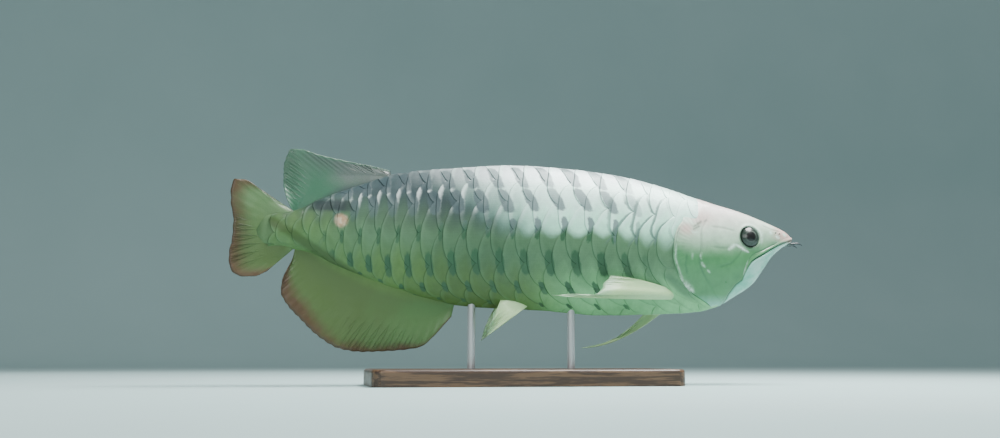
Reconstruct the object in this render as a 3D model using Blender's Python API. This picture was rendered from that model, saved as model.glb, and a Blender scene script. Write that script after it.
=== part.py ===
"""Asian arowana, a still life-size display model held by a plain stand.

Sizes are in metres. The fish is worked out straight and level along X, with its head at
+X, its left side at +Y and Z measured from about the middle of its eye. Every finished
piece is then bent a little at the tail, banked and lifted to its height above the floor.
"""

import bmesh
import bpy
from functools import cache
from math import acos, cos, pi, radians, sin, sqrt
from mathutils import Matrix, Vector
from random import Random

GAP = 0.0003

# Pose
BANK = radians(6)
BEND_START = -0.090
BEND_REACH = 0.190
BEND_DEPTH = 0.024
MIDLINE_HEIGHT = 0.146

# Body: (x, z) of the back and belly lines and (x, y) of the widest level
SNOUT_TIP = (0.2887, 0.0024)
TAIL_CUT = -0.064
CAUDAL_CUT = -0.228
BODY_TOP = 0.090
WIDEST_SHARE = 0.56
BACK_LINE = (
    (-0.262, 0.0170), (-0.240, 0.0165), (-0.224, 0.0190), (-0.198, 0.0320),
    (-0.159, 0.0485), (-0.120, 0.0625), (-0.070, 0.0690), (0.000, 0.0740),
    (0.055, 0.0715), (0.106, 0.0655), (0.149, 0.0555), (0.191, 0.0425),
    (0.235, 0.0303), (0.267, 0.0175), (0.281, 0.0108), (0.288, 0.0045),
)
BELLY_LINE = (
    (-0.262, -0.0180), (-0.240, -0.0165), (-0.224, -0.0177), (-0.205, -0.0215),
    (-0.183, -0.0325), (-0.120, -0.0552), (-0.081, -0.0659), (-0.050, -0.0697),
    (0.020, -0.0728), (0.080, -0.0770), (0.140, -0.0755), (0.182, -0.0728),
    (0.203, -0.0675), (0.224, -0.0563), (0.243, -0.0440), (0.255, -0.0290),
    (0.267, -0.0140), (0.279, -0.0045), (0.288, 0.0003),
)
HALF_WIDTH = (
    (-0.262, 0.0030), (-0.240, 0.0065), (-0.224, 0.0090), (-0.190, 0.0125),
    (-0.150, 0.0165), (-0.100, 0.0220), (-0.050, 0.0265), (0.000, 0.0295),
    (0.080, 0.0315), (0.150, 0.0305), (0.190, 0.0275), (0.235, 0.0225),
    (0.262, 0.0178), (0.276, 0.0132), (0.284, 0.0085), (0.288, 0.0045),
)
# How square the back is, how full the belly is and how sharp its keel is, along X
BACK_FULLNESS = ((-0.200, 2.2), (0.150, 2.4), (0.210, 3.6), (0.288, 2.6))
BELLY_FULLNESS = ((-0.200, 2.0), (0.150, 1.8), (0.230, 2.2), (0.288, 2.2))
KEEL_ROUNDNESS = ((-0.200, 1.6), (0.000, 1.3), (0.180, 1.3), (0.240, 1.7), (0.288, 2.0))

# Head: (z, x) of the gill cover's rear edge, (x, z) of the mouth line and of the jaw's rear
GILL_EDGE = (
    (-0.080, 0.2190), (-0.070, 0.1990), (-0.065, 0.1890), (-0.054, 0.1680),
    (-0.037, 0.1545), (-0.020, 0.1490), (-0.0045, 0.1505), (0.006, 0.1540),
    (0.014, 0.1600), (0.025, 0.1640), (0.040, 0.1680), (0.062, 0.1780),
)
GILL_REAR = 0.149
HEAD_ROWS = 14
HEAD_STEPS = (
    0.0, 0.0015, 0.010, 0.020, 0.0296, 0.0312, 0.040, 0.050, 0.060, 0.069, 0.078,
    0.087, 0.096, 0.105, 0.113, 0.120, 0.1265, 0.1315, 0.1355, 0.1380,
)
HEAD_FOLLOW = ((0.0, 1.0), (0.031, 0.75), (0.085, 0.0), (0.140, 0.0))
COVER_RISE = 0.0018
COVER_REACH = 0.034
PREOPERCLE_STEP = 0.0312
PREOPERCLE_RISE = 0.0015
MOUTH_LINE = (
    (0.2870, 0.0018), (0.2740, -0.0026), (0.2590, -0.0103), (0.2480, -0.0168),
    (0.2370, -0.0232), (0.2320, -0.0295), (0.2280, -0.0379), (0.2265, -0.0425),
)
JAW_REAR = ((0.2200, -0.0470), (0.2130, -0.0560), (0.2080, -0.0670), (0.2040, -0.0850))
UPPER_LIP = (0.0024, 0.0030, 0.0013)
LOWER_LIP = (-0.0019, 0.0020, 0.0011)
LIP_TAPER = 0.05
EYE_CENTRE = (0.2347, 0.0203, 0.0012)
EYE_RADIUS = 0.0105
EYE_BULGE = 0.0056
SOCKET_CLEARANCE = 0.0004
ORBIT_RADII = (0.0130, 0.0130, 0.0108)
ORBIT_HEIGHTS = (-0.0060, -0.0005, 0.0009)
NOSTRILS = ((0.2700, 0.0062, 0.0013), (0.2655, 0.0068, 0.0015))
BARBEL_PATH = (
    (0.2850, 0.0030, -0.0016), (0.2885, 0.0040, -0.0018), (0.2925, 0.0052, -0.0012),
    (0.2960, 0.0060, -0.0020), (0.2985, 0.0064, -0.0036),
)
BARBEL_RADII = (0.0011, 0.0010, 0.0009, 0.0007, 0.0004)

# Scales: rows run along the body and are counted from the back to the belly, columns
# run round it and are counted from the gill cover; (column, x) and (x, z) of each row
SCALE_RISE = 0.0017
SCALE_RISE_VARIES = 0.15
MEDIAN_RISE_SHARE = 0.5
SCALE_ROWS = 14
SCALE_COLUMNS = (
    (-1.5, 0.173), (0.0, 0.141), (2.0, 0.101), (6.0, 0.000), (11.0, -0.113),
    (18.0, -0.232), (19.0, -0.249),
)
SCALE_FOLLOW = ((-0.262, 0.2), (0.060, 0.55), (0.141, 1.0), (0.200, 1.0))
FIRST_HALF_COLUMN = -3
LAST_HALF_COLUMN = 38
RIM_SPREAD = 0.024
ARC_SHARE = 0.55
ARC_SAG = 0.13
ROW_SQUEEZE = 0.0012
NARROW_ROW = (0.004, 0.013)
TAIL_FADE = (-0.242, -0.200)
END_REACH = 0.025
ROW_LEVELS = (
    ((-0.228, 0.0175), (-0.140, 0.0450), (-0.024, 0.0535), (0.060, 0.0505), (0.149, 0.0390)),
    ((-0.228, 0.0105), (-0.179, 0.0158), (-0.140, 0.0245), (-0.024, 0.0310), (0.149, 0.0190)),
    ((-0.228, -0.0040), (-0.179, -0.0057), (-0.140, -0.0042), (-0.024, 0.0020), (0.149, -0.0060)),
    ((-0.228, -0.0165), (-0.179, -0.0271), (-0.140, -0.0345), (-0.024, -0.0298), (0.149, -0.0330)),
    ((-0.179, -0.0400), (-0.120, -0.0530), (-0.024, -0.0523), (0.080, -0.0540), (0.149, -0.0540)),
    ((-0.120, -0.0600), (-0.024, -0.0660), (0.080, -0.0700), (0.149, -0.0680), (0.200, -0.0640)),
)

# Fins: x of each end of the base, (x, z) of the margin, and half thickness of the rays at
# base and tip and of the web at base and tip
ROOT_DEPTH = 0.006
WEB_SHARE = 0.985
DORSAL_RAYS = 20
DORSAL_BASE = (-0.128, -0.221)
DORSAL_THICKNESS = (0.0015, 0.0006, 0.0006, 0.0003)
DORSAL_MARGIN = (
    (-0.1300, 0.0655), (-0.1500, 0.0695), (-0.1740, 0.0728), (-0.2000, 0.0770),
    (-0.2180, 0.0815), (-0.2260, 0.0812), (-0.2305, 0.0735), (-0.2330, 0.0630),
    (-0.2330, 0.0470), (-0.2305, 0.0345), (-0.2260, 0.0240),
)
ANAL_RAYS = 26
ANAL_BASE = (-0.066, -0.219)
ANAL_THICKNESS = (0.0017, 0.0006, 0.0007, 0.0003)
ANAL_MARGIN = (
    (-0.0700, -0.0800), (-0.0810, -0.0925), (-0.0900, -0.1020), (-0.1000, -0.1095),
    (-0.1180, -0.1125), (-0.1390, -0.1140), (-0.1580, -0.1147), (-0.1770, -0.1121),
    (-0.1960, -0.1020), (-0.2150, -0.0844), (-0.2280, -0.0700), (-0.2330, -0.0590),
    (-0.2320, -0.0480), (-0.2280, -0.0380), (-0.2230, -0.0290),
)
CAUDAL_RAYS = 16
CAUDAL_THICKNESS = (0.0013, 0.0005, 0.0006, 0.0003)
CAUDAL_FLESH_SHARE = 0.55
CAUDAL_MARGIN = (
    (-0.2400, 0.0300), (-0.2540, 0.0386), (-0.2690, 0.0465), (-0.2770, 0.0465),
    (-0.2810, 0.0360), (-0.2805, 0.0220), (-0.2780, 0.0080), (-0.2785, -0.0090),
    (-0.2810, -0.0260), (-0.2805, -0.0350), (-0.2770, -0.0430), (-0.2690, -0.0468),
    (-0.2570, -0.0460), (-0.2470, -0.0410),
)
# Paired fins: (x, z) of the two ends of the root on the flank, the tips of the first to the
# last ray as (x, outwards, z), and how far the first and the last ray bow at the middle
PECTORAL_RAYS = 7
PECTORAL_THICKNESS = (0.0016, 0.0005, 0.0008, 0.0003)
PECTORAL_ROOT = ((0.1660, -0.0620), (0.1570, -0.0535))
PECTORAL_TIPS = {
    "right": (
        (0.0163, 0.0620, -0.0674), (0.0560, 0.0570, -0.0670), (0.0674, 0.0530, -0.0606),
        (0.0707, 0.0490, -0.0541), (0.0804, 0.0440, -0.0443),
    ),
    "left": (
        (0.0734, 0.0560, -0.1037), (0.0931, 0.0530, -0.0998), (0.1050, 0.0490, -0.0962),
        (0.1110, 0.0450, -0.0925), (0.1210, 0.0400, -0.0867),
    ),
}
PECTORAL_BOWS = {
    "right": ((0.0, 0.0100, -0.0030), (0.0, 0.0080, 0.0)),
    "left": ((0.0, 0.0100, -0.0110), (0.0, 0.0020, 0.0)),
}
PELVIC_RAYS = 6
PELVIC_THICKNESS = (0.0014, 0.0005, 0.0008, 0.0003)
PELVIC_ROOT = ((0.0150, -0.0665), (-0.0150, -0.0620))
PELVIC_TIPS = (
    (-0.0380, 0.0190, -0.1010), (-0.0365, 0.0190, -0.0955), (-0.0340, 0.0185, -0.0880),
    (-0.0300, 0.0180, -0.0790),
)
PELVIC_BOWS = ((0.0, 0.003, 0.0), (0.0, 0.003, 0.0))

# Stand
STAND_BASE_SIZE = (0.300, 0.140, 0.016)
STAND_CORNER = 0.012
STAND_EDGE = 0.003
STAND_ROD_RADIUS = 0.004
STAND_ROD_PLACES = {"front": 0.050, "back": -0.050}

ACROSS = Vector((0, 1, 0))
SIDES = ((-1, "right"), (1, "left"))


def curve(points):
    """A smooth function through (place, value) points that doesn't overshoot them."""
    places = [p[0] for p in points]
    values = [p[1] for p in points]
    steps = [b - a for a, b in zip(places, places[1:])]
    slopes = [(b - a) / step for a, b, step in zip(values, values[1:], steps)]
    tangents = [slopes[0]]
    for before, after in zip(slopes, slopes[1:]):
        same_way = before * after > 0
        tangents.append(2 * before * after / (before + after) if same_way else 0.0)
    tangents.append(slopes[-1])

    def at(place):
        place = min(max(place, places[0]), places[-1])
        i = 0
        while i < len(steps) - 1 and place > places[i + 1]:
            i += 1
        t = (place - places[i]) / steps[i]
        rise = values[i] * (1 + 2 * t) * (1 - t) ** 2 + values[i + 1] * t * t * (3 - 2 * t)
        lean = tangents[i] * t * (1 - t) ** 2 - tangents[i + 1] * t * t * (1 - t)
        return rise + lean * steps[i]

    return at


def along(points):
    """A function that gives the place at a share of the length of a smooth line."""
    points = [Vector(p) for p in points]
    lengths = [0.0]
    for a, b in zip(points, points[1:]):
        lengths.append(lengths[-1] + (b - a).length)
    axes = [curve([(d / lengths[-1], p[n]) for d, p in zip(lengths, points)]) for n in range(3)]
    return lambda share: Vector([axis(share) for axis in axes])


def smooth_step(low, high, value):
    """0 below low, 1 above high and a smooth rise between them."""
    t = min(max((value - low) / (high - low), 0.0), 1.0)
    return t * t * (3 - 2 * t)


back_at = curve(BACK_LINE)
belly_at = curve(BELLY_LINE)
half_width_at = curve(HALF_WIDTH)
back_fullness_at = curve(BACK_FULLNESS)
belly_fullness_at = curve(BELLY_FULLNESS)
keel_roundness_at = curve(KEEL_ROUNDNESS)
gill_edge_at = curve(GILL_EDGE)
head_follow_at = curve(HEAD_FOLLOW)
column_start_at = curve(SCALE_COLUMNS)
column_follow_at = curve(SCALE_FOLLOW)
row_level_at = [curve(points) for points in ROW_LEVELS]


# The body's plain skin

def flank(x, z):
    """Half the body's width at a place on its side view."""
    top, bottom = back_at(x), belly_at(x)
    middle = bottom + WIDEST_SHARE * (top - bottom)
    if z >= middle:
        share = min((z - middle) / (top - middle), 1.0)
        return half_width_at(x) * sqrt(1 - share ** back_fullness_at(x))
    share = min((middle - z) / (middle - bottom), 1.0)
    return half_width_at(x) * (1 - share ** belly_fullness_at(x)) ** (1 / keel_roundness_at(x))


def column_x(start, follow, z):
    """Where a line round the body lies, upright or following the gill cover's edge."""
    return start + follow * (gill_edge_at(z) - GILL_REAR)


@cache
def column_ends(start, follow):
    """The heights at which a line round the body meets the back line and the belly line."""
    ends = []
    for line_at, low, high in ((back_at, 0.0, BODY_TOP), (belly_at, -BODY_TOP, 0.001)):
        for _ in range(24):
            centre = (low + high) / 2
            if centre > line_at(column_x(start, follow, centre)):
                high = centre
            else:
                low = centre
        ends.append((low + high) / 2)
    return ends


def ring_point(start, follow, turn):
    """A point of a line round the body, at a turn of 0 on the back and pi on the belly."""
    top, bottom = column_ends(start, follow)
    middle = bottom + WIDEST_SHARE * (top - bottom)
    reach = top - middle if cos(turn) > 0 else middle - bottom
    z = middle + reach * cos(turn)
    x = column_x(start, follow, z)
    on_middle_plane = min(turn, pi - turn) < 0.001
    return Vector((x, 0.0 if on_middle_plane else flank(x, z), z))


def skin_rings(columns, half_rows, lift, grow=0.0):
    """The rings of points of the body's skin, one for each (start, follow) column.

    lift(column, turn) raises the skin along its own normal, but the first ring stays
    on its own upright sheet, so that what lies behind it can meet it face to face.
    """
    around = 2 * half_rows
    plain = []
    for start, follow in columns:
        half = [ring_point(start, follow, pi * k / half_rows) for k in range(half_rows + 1)]
        plain.append(half + [Vector((p.x, -p.y, p.z)) for p in half[-2:0:-1]])
    raised = []
    for i, ring in enumerate(plain):
        ahead = plain[min(i + 1, len(plain) - 1)]
        behind = plain[max(i - 1, 0)]
        row = []
        for k, point in enumerate(ring):
            across = ring[(k + 1) % around] - ring[k - 1]
            normal = (ahead[k] - behind[k]).cross(across).normalized()
            turn = pi * min(k, around - k) / half_rows
            row.append(point + normal * (grow + lift(columns[i][0], turn)))
        raised.append(row)
    for point in raised[0]:
        point.x = column_x(*columns[0], point.z)
    return raised


# Meshes

def mesh_object(name, points, faces, finish=None):
    """A closed mesh with its faces pointing outwards."""
    made = bmesh.new()
    corners = [made.verts.new(p) for p in points]
    for face in faces:
        made.faces.new([corners[i] for i in face])
    bmesh.ops.recalc_face_normals(made, faces=made.faces)
    return object_from(name, made, finish)


def object_from(name, made, finish=None):
    """An object in the scene that holds a finished bmesh."""
    mesh = bpy.data.meshes.new(name)
    made.to_mesh(mesh)
    made.free()
    if finish:
        mesh.materials.append(finish)
    obj = bpy.data.objects.new(name, mesh)
    bpy.context.scene.collection.objects.link(obj)
    return obj


def combine(obj, others, operation):
    """Join, cut or intersect an object with others, which are used up."""
    group = bpy.data.collections.new("others")
    bpy.context.scene.collection.children.link(group)
    for other in others:
        group.objects.link(other)
    modifier = obj.modifiers.new("combine", "BOOLEAN")
    modifier.operation = operation
    modifier.operand_type = "COLLECTION"
    modifier.collection = group
    modifier.solver = "MANIFOLD"
    view = bpy.context.evaluated_depsgraph_get()
    mesh = bpy.data.meshes.new_from_object(obj.evaluated_get(view))
    obj.modifiers.clear()
    obj.data = mesh
    for other in others:
        bpy.data.objects.remove(other)
    bpy.data.collections.remove(group)
    keep_largest(obj)


def keep_largest(obj):
    """Drop loose scraps and sealed hollows, so that one closed surface is left."""
    made = bmesh.new()
    made.from_mesh(obj.data)
    bmesh.ops.triangulate(made, faces=made.faces)
    unseen = set(made.faces)
    islands = []
    while unseen:
        island = []
        search = [unseen.pop()]
        while search:
            face = search.pop()
            island.append(face)
            near = {f for e in face.edges for f in e.link_faces} & unseen
            unseen -= near
            search.extend(near)
        islands.append(island)
    islands.sort(key=len)
    spare = [face for island in islands[:-1] for face in island]
    bmesh.ops.delete(made, geom=spare, context="FACES")
    made.to_mesh(obj.data)
    made.free()


def slab(outline):
    """An outline of (x, z) points extruded across the whole width of the fish."""
    reach = BODY_TOP
    count = len(outline)
    points = [(x, side * reach, z) for side in (-1, 1) for x, z in outline]
    faces = [tuple(range(count)), tuple(range(2 * count - 1, count - 1, -1))]
    for i in range(count):
        j = (i + 1) % count
        faces.append((i, j, count + j, count + i))
    return mesh_object("slab", points, faces)


def tube(name, path, sizes, sides, wide_way):
    """A closed tube along a path, with a width and a height at each of its points."""
    points, faces = [], []
    path = [Vector(place) for place in path]
    for i, place in enumerate(path):
        ahead = path[min(i + 1, len(path) - 1)] - path[max(i - 1, 0)]
        wide = (wide_way - wide_way.project(ahead)).normalized()
        high = ahead.cross(wide).normalized()
        for k in range(sides):
            turn = 2 * pi * k / sides
            points.append(place + wide * sizes[i][0] * cos(turn) + high * sizes[i][1] * sin(turn))
    for i in range(len(path) - 1):
        for k in range(sides):
            j = (k + 1) % sides
            a, b = i * sides, (i + 1) * sides
            faces.append((a + k, a + j, b + j, b + k))
    faces.append(tuple(range(sides)))
    faces.append(tuple(range((len(path) - 1) * sides, len(path) * sides)))
    return mesh_object(name, points, faces)


def ball(name, centre, radius, bulge, around, levels, finish=None):
    """A closed ball with its poles to the sides, where it may be flatter."""
    made = bmesh.new()
    bmesh.ops.create_uvsphere(made, u_segments=around, v_segments=levels, radius=radius)
    bmesh.ops.scale(made, verts=made.verts, vec=(1, 1, bulge / radius))
    bmesh.ops.rotate(made, verts=made.verts, matrix=Matrix.Rotation(pi / 2, 3, "X"))
    bmesh.ops.translate(made, verts=made.verts, vec=centre)
    return object_from(name, made, finish)


# Head

def head_columns():
    """The lines round the head, from the gill cover's edge to the snout."""
    return [(GILL_REAR + step, head_follow_at(step)) for step in HEAD_STEPS]


def head_lift(start, turn):
    """How far the gill cover and the cheek stand out of the head's plain shape."""
    step = start - GILL_REAR
    on_side = smooth_step(0.8, 1.15, turn) * (1 - smooth_step(2.75, 3.0, turn))
    cover = 1 - smooth_step(0.0, COVER_REACH, step)
    rolled_edge = 0.75 + 0.25 * smooth_step(0.0, HEAD_STEPS[1], step)
    cheek = smooth_step(HEAD_STEPS[4], PREOPERCLE_STEP, step) * (1 - smooth_step(0.04, 0.07, step))
    side_share = 0.45 + 0.55 * on_side
    return COVER_RISE * cover * rolled_edge * side_share + PREOPERCLE_RISE * cheek * on_side


def lip(name, sizes, grow):
    """A fleshy rim along the mouth line, round the snout from one corner to the other."""
    offset, wide, high = sizes
    side = [(x - offset * 0.7, flank(x, z), z + offset * 0.75) for x, z in reversed(MOUTH_LINE)]
    front = (SNOUT_TIP[0] - 0.0004, 0.0, SNOUT_TIP[1] + offset * 0.8)
    path = side + [front] + [(x, -y, z) for x, y, z in reversed(side)]
    taper = []
    for i in range(len(path)):
        from_corner = min(i, len(path) - 1 - i)
        end = 0.35 if from_corner == 0 else 1.0
        taper.append((wide * (1 - LIP_TAPER * from_corner) * end + grow, high * end + grow))
    return tube(name, path, taper, 6, Vector((-0.6, 0, 0.8)))


def head_block(name, grow=0.0):
    """Head and lower jaw in one, with lips and the raised rims of the eyes."""
    rings = skin_rings(head_columns(), HEAD_ROWS, head_lift, grow)
    around = 2 * HEAD_ROWS
    points = [p for ring in rings for p in ring]
    faces = []
    for i in range(len(rings) - 1):
        a, b = i * around, (i + 1) * around
        for k in range(around):
            j = (k + 1) % around
            faces += [(a + k, a + j, b + j), (a + k, b + j, b + k)]
    for k in range(HEAD_ROWS):
        across = [k, k + 1, around - k - 1, (around - k) % around]
        faces.append(tuple(dict.fromkeys(across)))
    last = len(points) - around
    points.append((SNOUT_TIP[0] + grow, 0, SNOUT_TIP[1]))
    faces += [(last + k, last + (k + 1) % around, len(points) - 1) for k in range(around)]
    block = mesh_object(name, points, faces)
    pieces = [lip("upper_lip", UPPER_LIP, grow), lip("lower_lip", LOWER_LIP, grow)]
    x, _, z = EYE_CENTRE
    cheek = flank(x, z)
    for side, _ in SIDES:
        path = [(x, side * (cheek + height), z) for height in ORBIT_HEIGHTS]
        sizes = [(radius + grow, radius + grow) for radius in ORBIT_RADII]
        pieces.append(tube("rim", path, sizes, 20, Vector((0, 0, 1))))
    combine(block, pieces, "UNION")
    return block


def jaw_outline(shift=0.0):
    """The side view of what belongs to the lower jaw."""
    front = SNOUT_TIP[0] + 0.020
    line = ((front, SNOUT_TIP[1]),) + MOUTH_LINE + JAW_REAR + ((front, JAW_REAR[-1][1]),)
    return [(x - shift, z + shift) for x, z in line]


def build_head(finish):
    """The head with its sockets, nostrils and mouth line, and the lower jaw."""
    head = head_block("head")
    jaw = head_block("lower_jaw")
    combine(jaw, [slab(jaw_outline())], "INTERSECT")
    cutters = [slab(jaw_outline(GAP))]
    x, y, z = EYE_CENTRE
    radius, bulge = EYE_RADIUS + SOCKET_CLEARANCE, EYE_BULGE + SOCKET_CLEARANCE
    for side, _ in SIDES:
        cutters.append(ball("socket", (x, side * y, z), radius, bulge, 20, 10))
        for nostril_x, nostril_z, size in NOSTRILS:
            place = (nostril_x, side * flank(nostril_x, nostril_z), nostril_z)
            cutters.append(ball("nostril", place, size, size, 10, 6))
    combine(head, cutters, "DIFFERENCE")
    for obj in (head, jaw):
        obj.data.materials.append(finish)
    return [head, jaw]


def build_eyes(finish):
    """An eyeball in each socket."""
    x, y, z = EYE_CENTRE
    return [
        ball(f"eye_{word}", (x, side * y, z), EYE_RADIUS, EYE_BULGE, 20, 10, finish)
        for side, word in SIDES
    ]


def build_barbels(finish):
    """The two short feelers at the tip of the lower jaw."""
    barbels = []
    for side, word in SIDES:
        path = [(x, side * y, z) for x, y, z in BARBEL_PATH]
        sizes = [(radius, radius) for radius in BARBEL_RADII]
        barbel = tube(f"barbel_{word}", path, sizes, 6, ACROSS)
        combine(barbel, [head_block("clear", GAP)], "DIFFERENCE")
        barbel.data.materials.append(finish)
        barbels.append(barbel)
    return barbels


# Scales

@cache
def row_turn(start, follow, row):
    """The turn at which a row of scales crosses a line round the body."""
    half = SCALE_ROWS // 2
    if row in (0, half):
        return pi * row / half
    top, bottom = column_ends(start, follow)
    x = start
    for _ in range(4):
        level = row_level_at[row - 1](x)
        level = min(level, top - ROW_SQUEEZE * row)
        level = max(level, bottom + ROW_SQUEEZE * (half - row))
        x = column_x(start, follow, level)
    middle = bottom + WIDEST_SHARE * (top - bottom)
    reach = top - middle if level > middle else middle - bottom
    return acos((level - middle) / reach)


@cache
def lattice_point(column, row):
    """A point of the plain skin where a scale column and a row of scales meet.

    Both may be fractions. Rows run from the back down the left flank to the belly and up
    the right flank again.
    """
    start = column_start_at(column)
    follow = column_follow_at(start)
    row %= SCALE_ROWS
    side = 1
    if row > SCALE_ROWS / 2:
        row = SCALE_ROWS - row
        side = -1
    above = int(row)
    turn = row_turn(start, follow, above)
    if row > above:
        turn += (row_turn(start, follow, above + 1) - turn) * (row - above)
    point = ring_point(start, follow, turn)
    return Vector((point.x, side * point.y, point.z))


@cache
def lattice_normal(column, row):
    """The direction out of the skin at a place on the lattice of scales."""
    step = 0.2
    ahead = lattice_point(column - step, row) - lattice_point(column + step, row)
    across = lattice_point(column, row + step) - lattice_point(column, row - step)
    return ahead.cross(across).normalized()


@cache
def scale_rise(half_column, row):
    """How far a scale's rear edge stands up: less where rows are squeezed and on the tail."""
    column = half_column / 2
    width = (lattice_point(column, row + 1) - lattice_point(column, row - 1)).length / 2
    before_tail = 0.35 + 0.65 * smooth_step(*TAIL_FADE, lattice_point(column, row).x)
    draw = Random(half_column * 100 + row % SCALE_ROWS)
    varied = draw.uniform(1 - SCALE_RISE_VARIES, 1 + SCALE_RISE_VARIES)
    if row % (SCALE_ROWS // 2) == 0:
        varied *= MEDIAN_RISE_SHARE
    return SCALE_RISE * smooth_step(*NARROW_ROW, width) * before_tail * varied


# Shift along the body in columns and share of the scale's rise for each kind of point
SCALE_POINTS = {
    "tip": (-RIM_SPREAD, 1.0),
    "joint": (0.0, 0.5),
    "front": (RIM_SPREAD, 0.0),
    "arc": (-RIM_SPREAD, 0.75),
    "under": (RIM_SPREAD, 0.25),
    "middle": (-0.5, 0.62),
}


def trunk_block(name, grow=0.0):
    """Torso and tail in one, covered in scales, from inside the head to inside the tail fin.

    Every scale is a plate whose rear edge stands over the scales behind it. Where a scale's
    rear tip lies, three points follow each other: the tip, the joint of the rear edges of
    the two scales beside it, and the front of the scale behind it.
    """
    points, faces, index = [], [], {}

    def corner(kind, c, r, way=0):
        r %= SCALE_ROWS
        key = (kind, c, r, way)
        if key not in index:
            rise = scale_rise(c, r)
            column, row = c / 2, r
            if way:
                rise = (rise + scale_rise(c - 1, r + way)) / 2
                column -= ARC_SAG
                row += way * ARC_SHARE
            shift, share = SCALE_POINTS[kind]
            column = round(column + shift, 4)
            out = lattice_normal(column, row)
            index[key] = len(points)
            points.append(lattice_point(column, row) + out * (rise * share + grow))
        return index[key]

    for c in range(FIRST_HALF_COLUMN + 2, LAST_HALF_COLUMN + 1):
        for r in range(c % 2, SCALE_ROWS, 2):
            outline = [
                corner("tip", c, r), corner("arc", c, r, 1), corner("joint", c - 1, r + 1),
                corner("under", c - 1, r + 1, -1), corner("front", c - 2, r),
                corner("under", c - 1, r - 1, 1), corner("joint", c - 1, r - 1),
                corner("arc", c, r, -1),
            ]
            middle = corner("middle", c, r)
            faces += [(middle, a, b) for a, b in zip(outline, outline[1:] + outline[:1])]
            tip, joint = corner("tip", c, r), corner("joint", c, r)
            for way in (1, -1):
                arc, under = corner("arc", c, r, way), corner("under", c, r, way)
                beside = corner("joint", c - 1, r + way)
                front = corner("front", c - 1, r + way)
                faces += [(tip, joint, under), (tip, under, arc)]
                faces += [(arc, under, front), (arc, front, beside)]
    close_ends(points, faces)
    return mesh_object(name, points, faces)


def close_ends(points, faces):
    """Close the two open ends of a tube along X, each with a fan to a point beyond it."""
    uses = {}
    for face in faces:
        for a, b in zip(face, face[1:] + face[:1]):
            uses[frozenset((a, b))] = uses.get(frozenset((a, b)), 0) + 1
    rim = [tuple(side) for side, count in uses.items() if count == 1]
    middle = sum(points[a].x for a, b in rim) / len(rim)
    for way in (-1, 1):
        end = [side for side in rim if (points[side[0]].x - middle) * way > 0]
        centre = sum((points[a] + points[b] for a, b in end), Vector()) / (2 * len(end))
        points.append(centre + Vector((way * END_REACH, 0, 0)))
        faces += [(a, b, len(points) - 1) for a, b in end]


def gill_outline():
    """The side view of the torso's front edge, a gap behind the head."""
    ring = skin_rings(head_columns()[:2], HEAD_ROWS, head_lift)[0][:HEAD_ROWS + 1]
    line = [(p.x, p.z) for p in ring]
    reach = 0.020
    line.insert(0, (line[0][0] + reach * 0.4, line[0][1] + reach))
    line.append((line[-1][0] + reach * 2, line[-1][1] - reach))
    room = 1.15 * GAP
    edge = []
    for i, (x, z) in enumerate(line):
        ahead, behind = line[min(i + 1, len(line) - 1)], line[max(i - 1, 0)]
        along_x, along_z = ahead[0] - behind[0], ahead[1] - behind[1]
        length = sqrt(along_x ** 2 + along_z ** 2)
        edge.append((x + room * along_z / length, z - room * along_x / length))
    return edge


def build_trunk(finish):
    """Torso and tail, parted by a thin upright cut at the vent."""
    torso = trunk_block("torso")
    rear = TAIL_CUT + GAP / 2
    combine(torso, [slab(gill_outline() + [(rear, -BODY_TOP), (rear, BODY_TOP)])], "INTERSECT")
    tail = trunk_block("tail")
    front = TAIL_CUT - GAP / 2
    corners = [(x, z) for x in (CAUDAL_CUT, front) for z in (-BODY_TOP, BODY_TOP)]
    outline = [corners[0], corners[2], corners[3], corners[1]]
    combine(tail, [slab(outline)], "INTERSECT")
    for obj in (torso, tail):
        obj.data.materials.append(finish)
    return [torso, tail]


# Fins

def fin(name, rays, stations, root, tip, thickness, finish, bow=None):
    """A fin of rays that fan out from its root, as ridges on a thin web.

    root(s) and tip(s) give the two ends of the ray at share s of the fin, and
    thickness(s, t, on_ray) its half thickness at share t of the ray's length.
    """
    columns = 2 * rays - 1
    wide = stations + 1
    sheet = []
    for i in range(columns):
        s = i / (columns - 1)
        start, end = root(s), tip(s)
        ray = []
        for k in range(wide):
            t = k / stations
            place = start.lerp(end, t * WEB_SHARE if i % 2 else t)
            if bow:
                place = place + bow(s) * 4 * t * (1 - t)
            ray.append(place)
        sheet.append(ray)
    offsets = []
    for i, ray in enumerate(sheet):
        beside = sheet[min(i + 1, columns - 1)], sheet[max(i - 1, 0)]
        for k in range(wide):
            outwards = ray[min(k + 1, stations)] - ray[max(k - 1, 0)]
            normal = (beside[0][k] - beside[1][k]).cross(outwards).normalized()
            offsets.append(normal * thickness(i / (columns - 1), k / stations, i % 2 == 0))
    places = [place for ray in sheet for place in ray]
    points = [place + offset * way for way in (1, -1) for place, offset in zip(places, offsets)]
    back = len(places)
    faces = []
    for i in range(columns - 1):
        for k in range(stations):
            a = i * wide + k
            b = a + wide
            faces += [(a, b, b + 1), (a, b + 1, a + 1)]
            faces += [(back + a, back + b + 1, back + b), (back + a, back + a + 1, back + b + 1)]
    rim = [i * wide for i in range(columns)]
    rim += [(columns - 1) * wide + k for k in range(1, wide)]
    rim += [i * wide + stations for i in range(columns - 2, -1, -1)]
    rim += list(range(stations - 1, 0, -1))
    for a, b in zip(rim, rim[1:] + rim[:1]):
        faces += [(a, back + a, back + b), (a, back + b, b)]
    return mesh_object(name, points, faces, finish)


def ray_thickness(ray_base, ray_end, web_base, web_end):
    """Half thickness that tapers along each ray, with thinner web between the rays."""
    def at(s, t, on_ray):
        if on_ray:
            return ray_base + (ray_end - ray_base) * t
        return web_base + (web_end - web_base) * t
    return at


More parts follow.
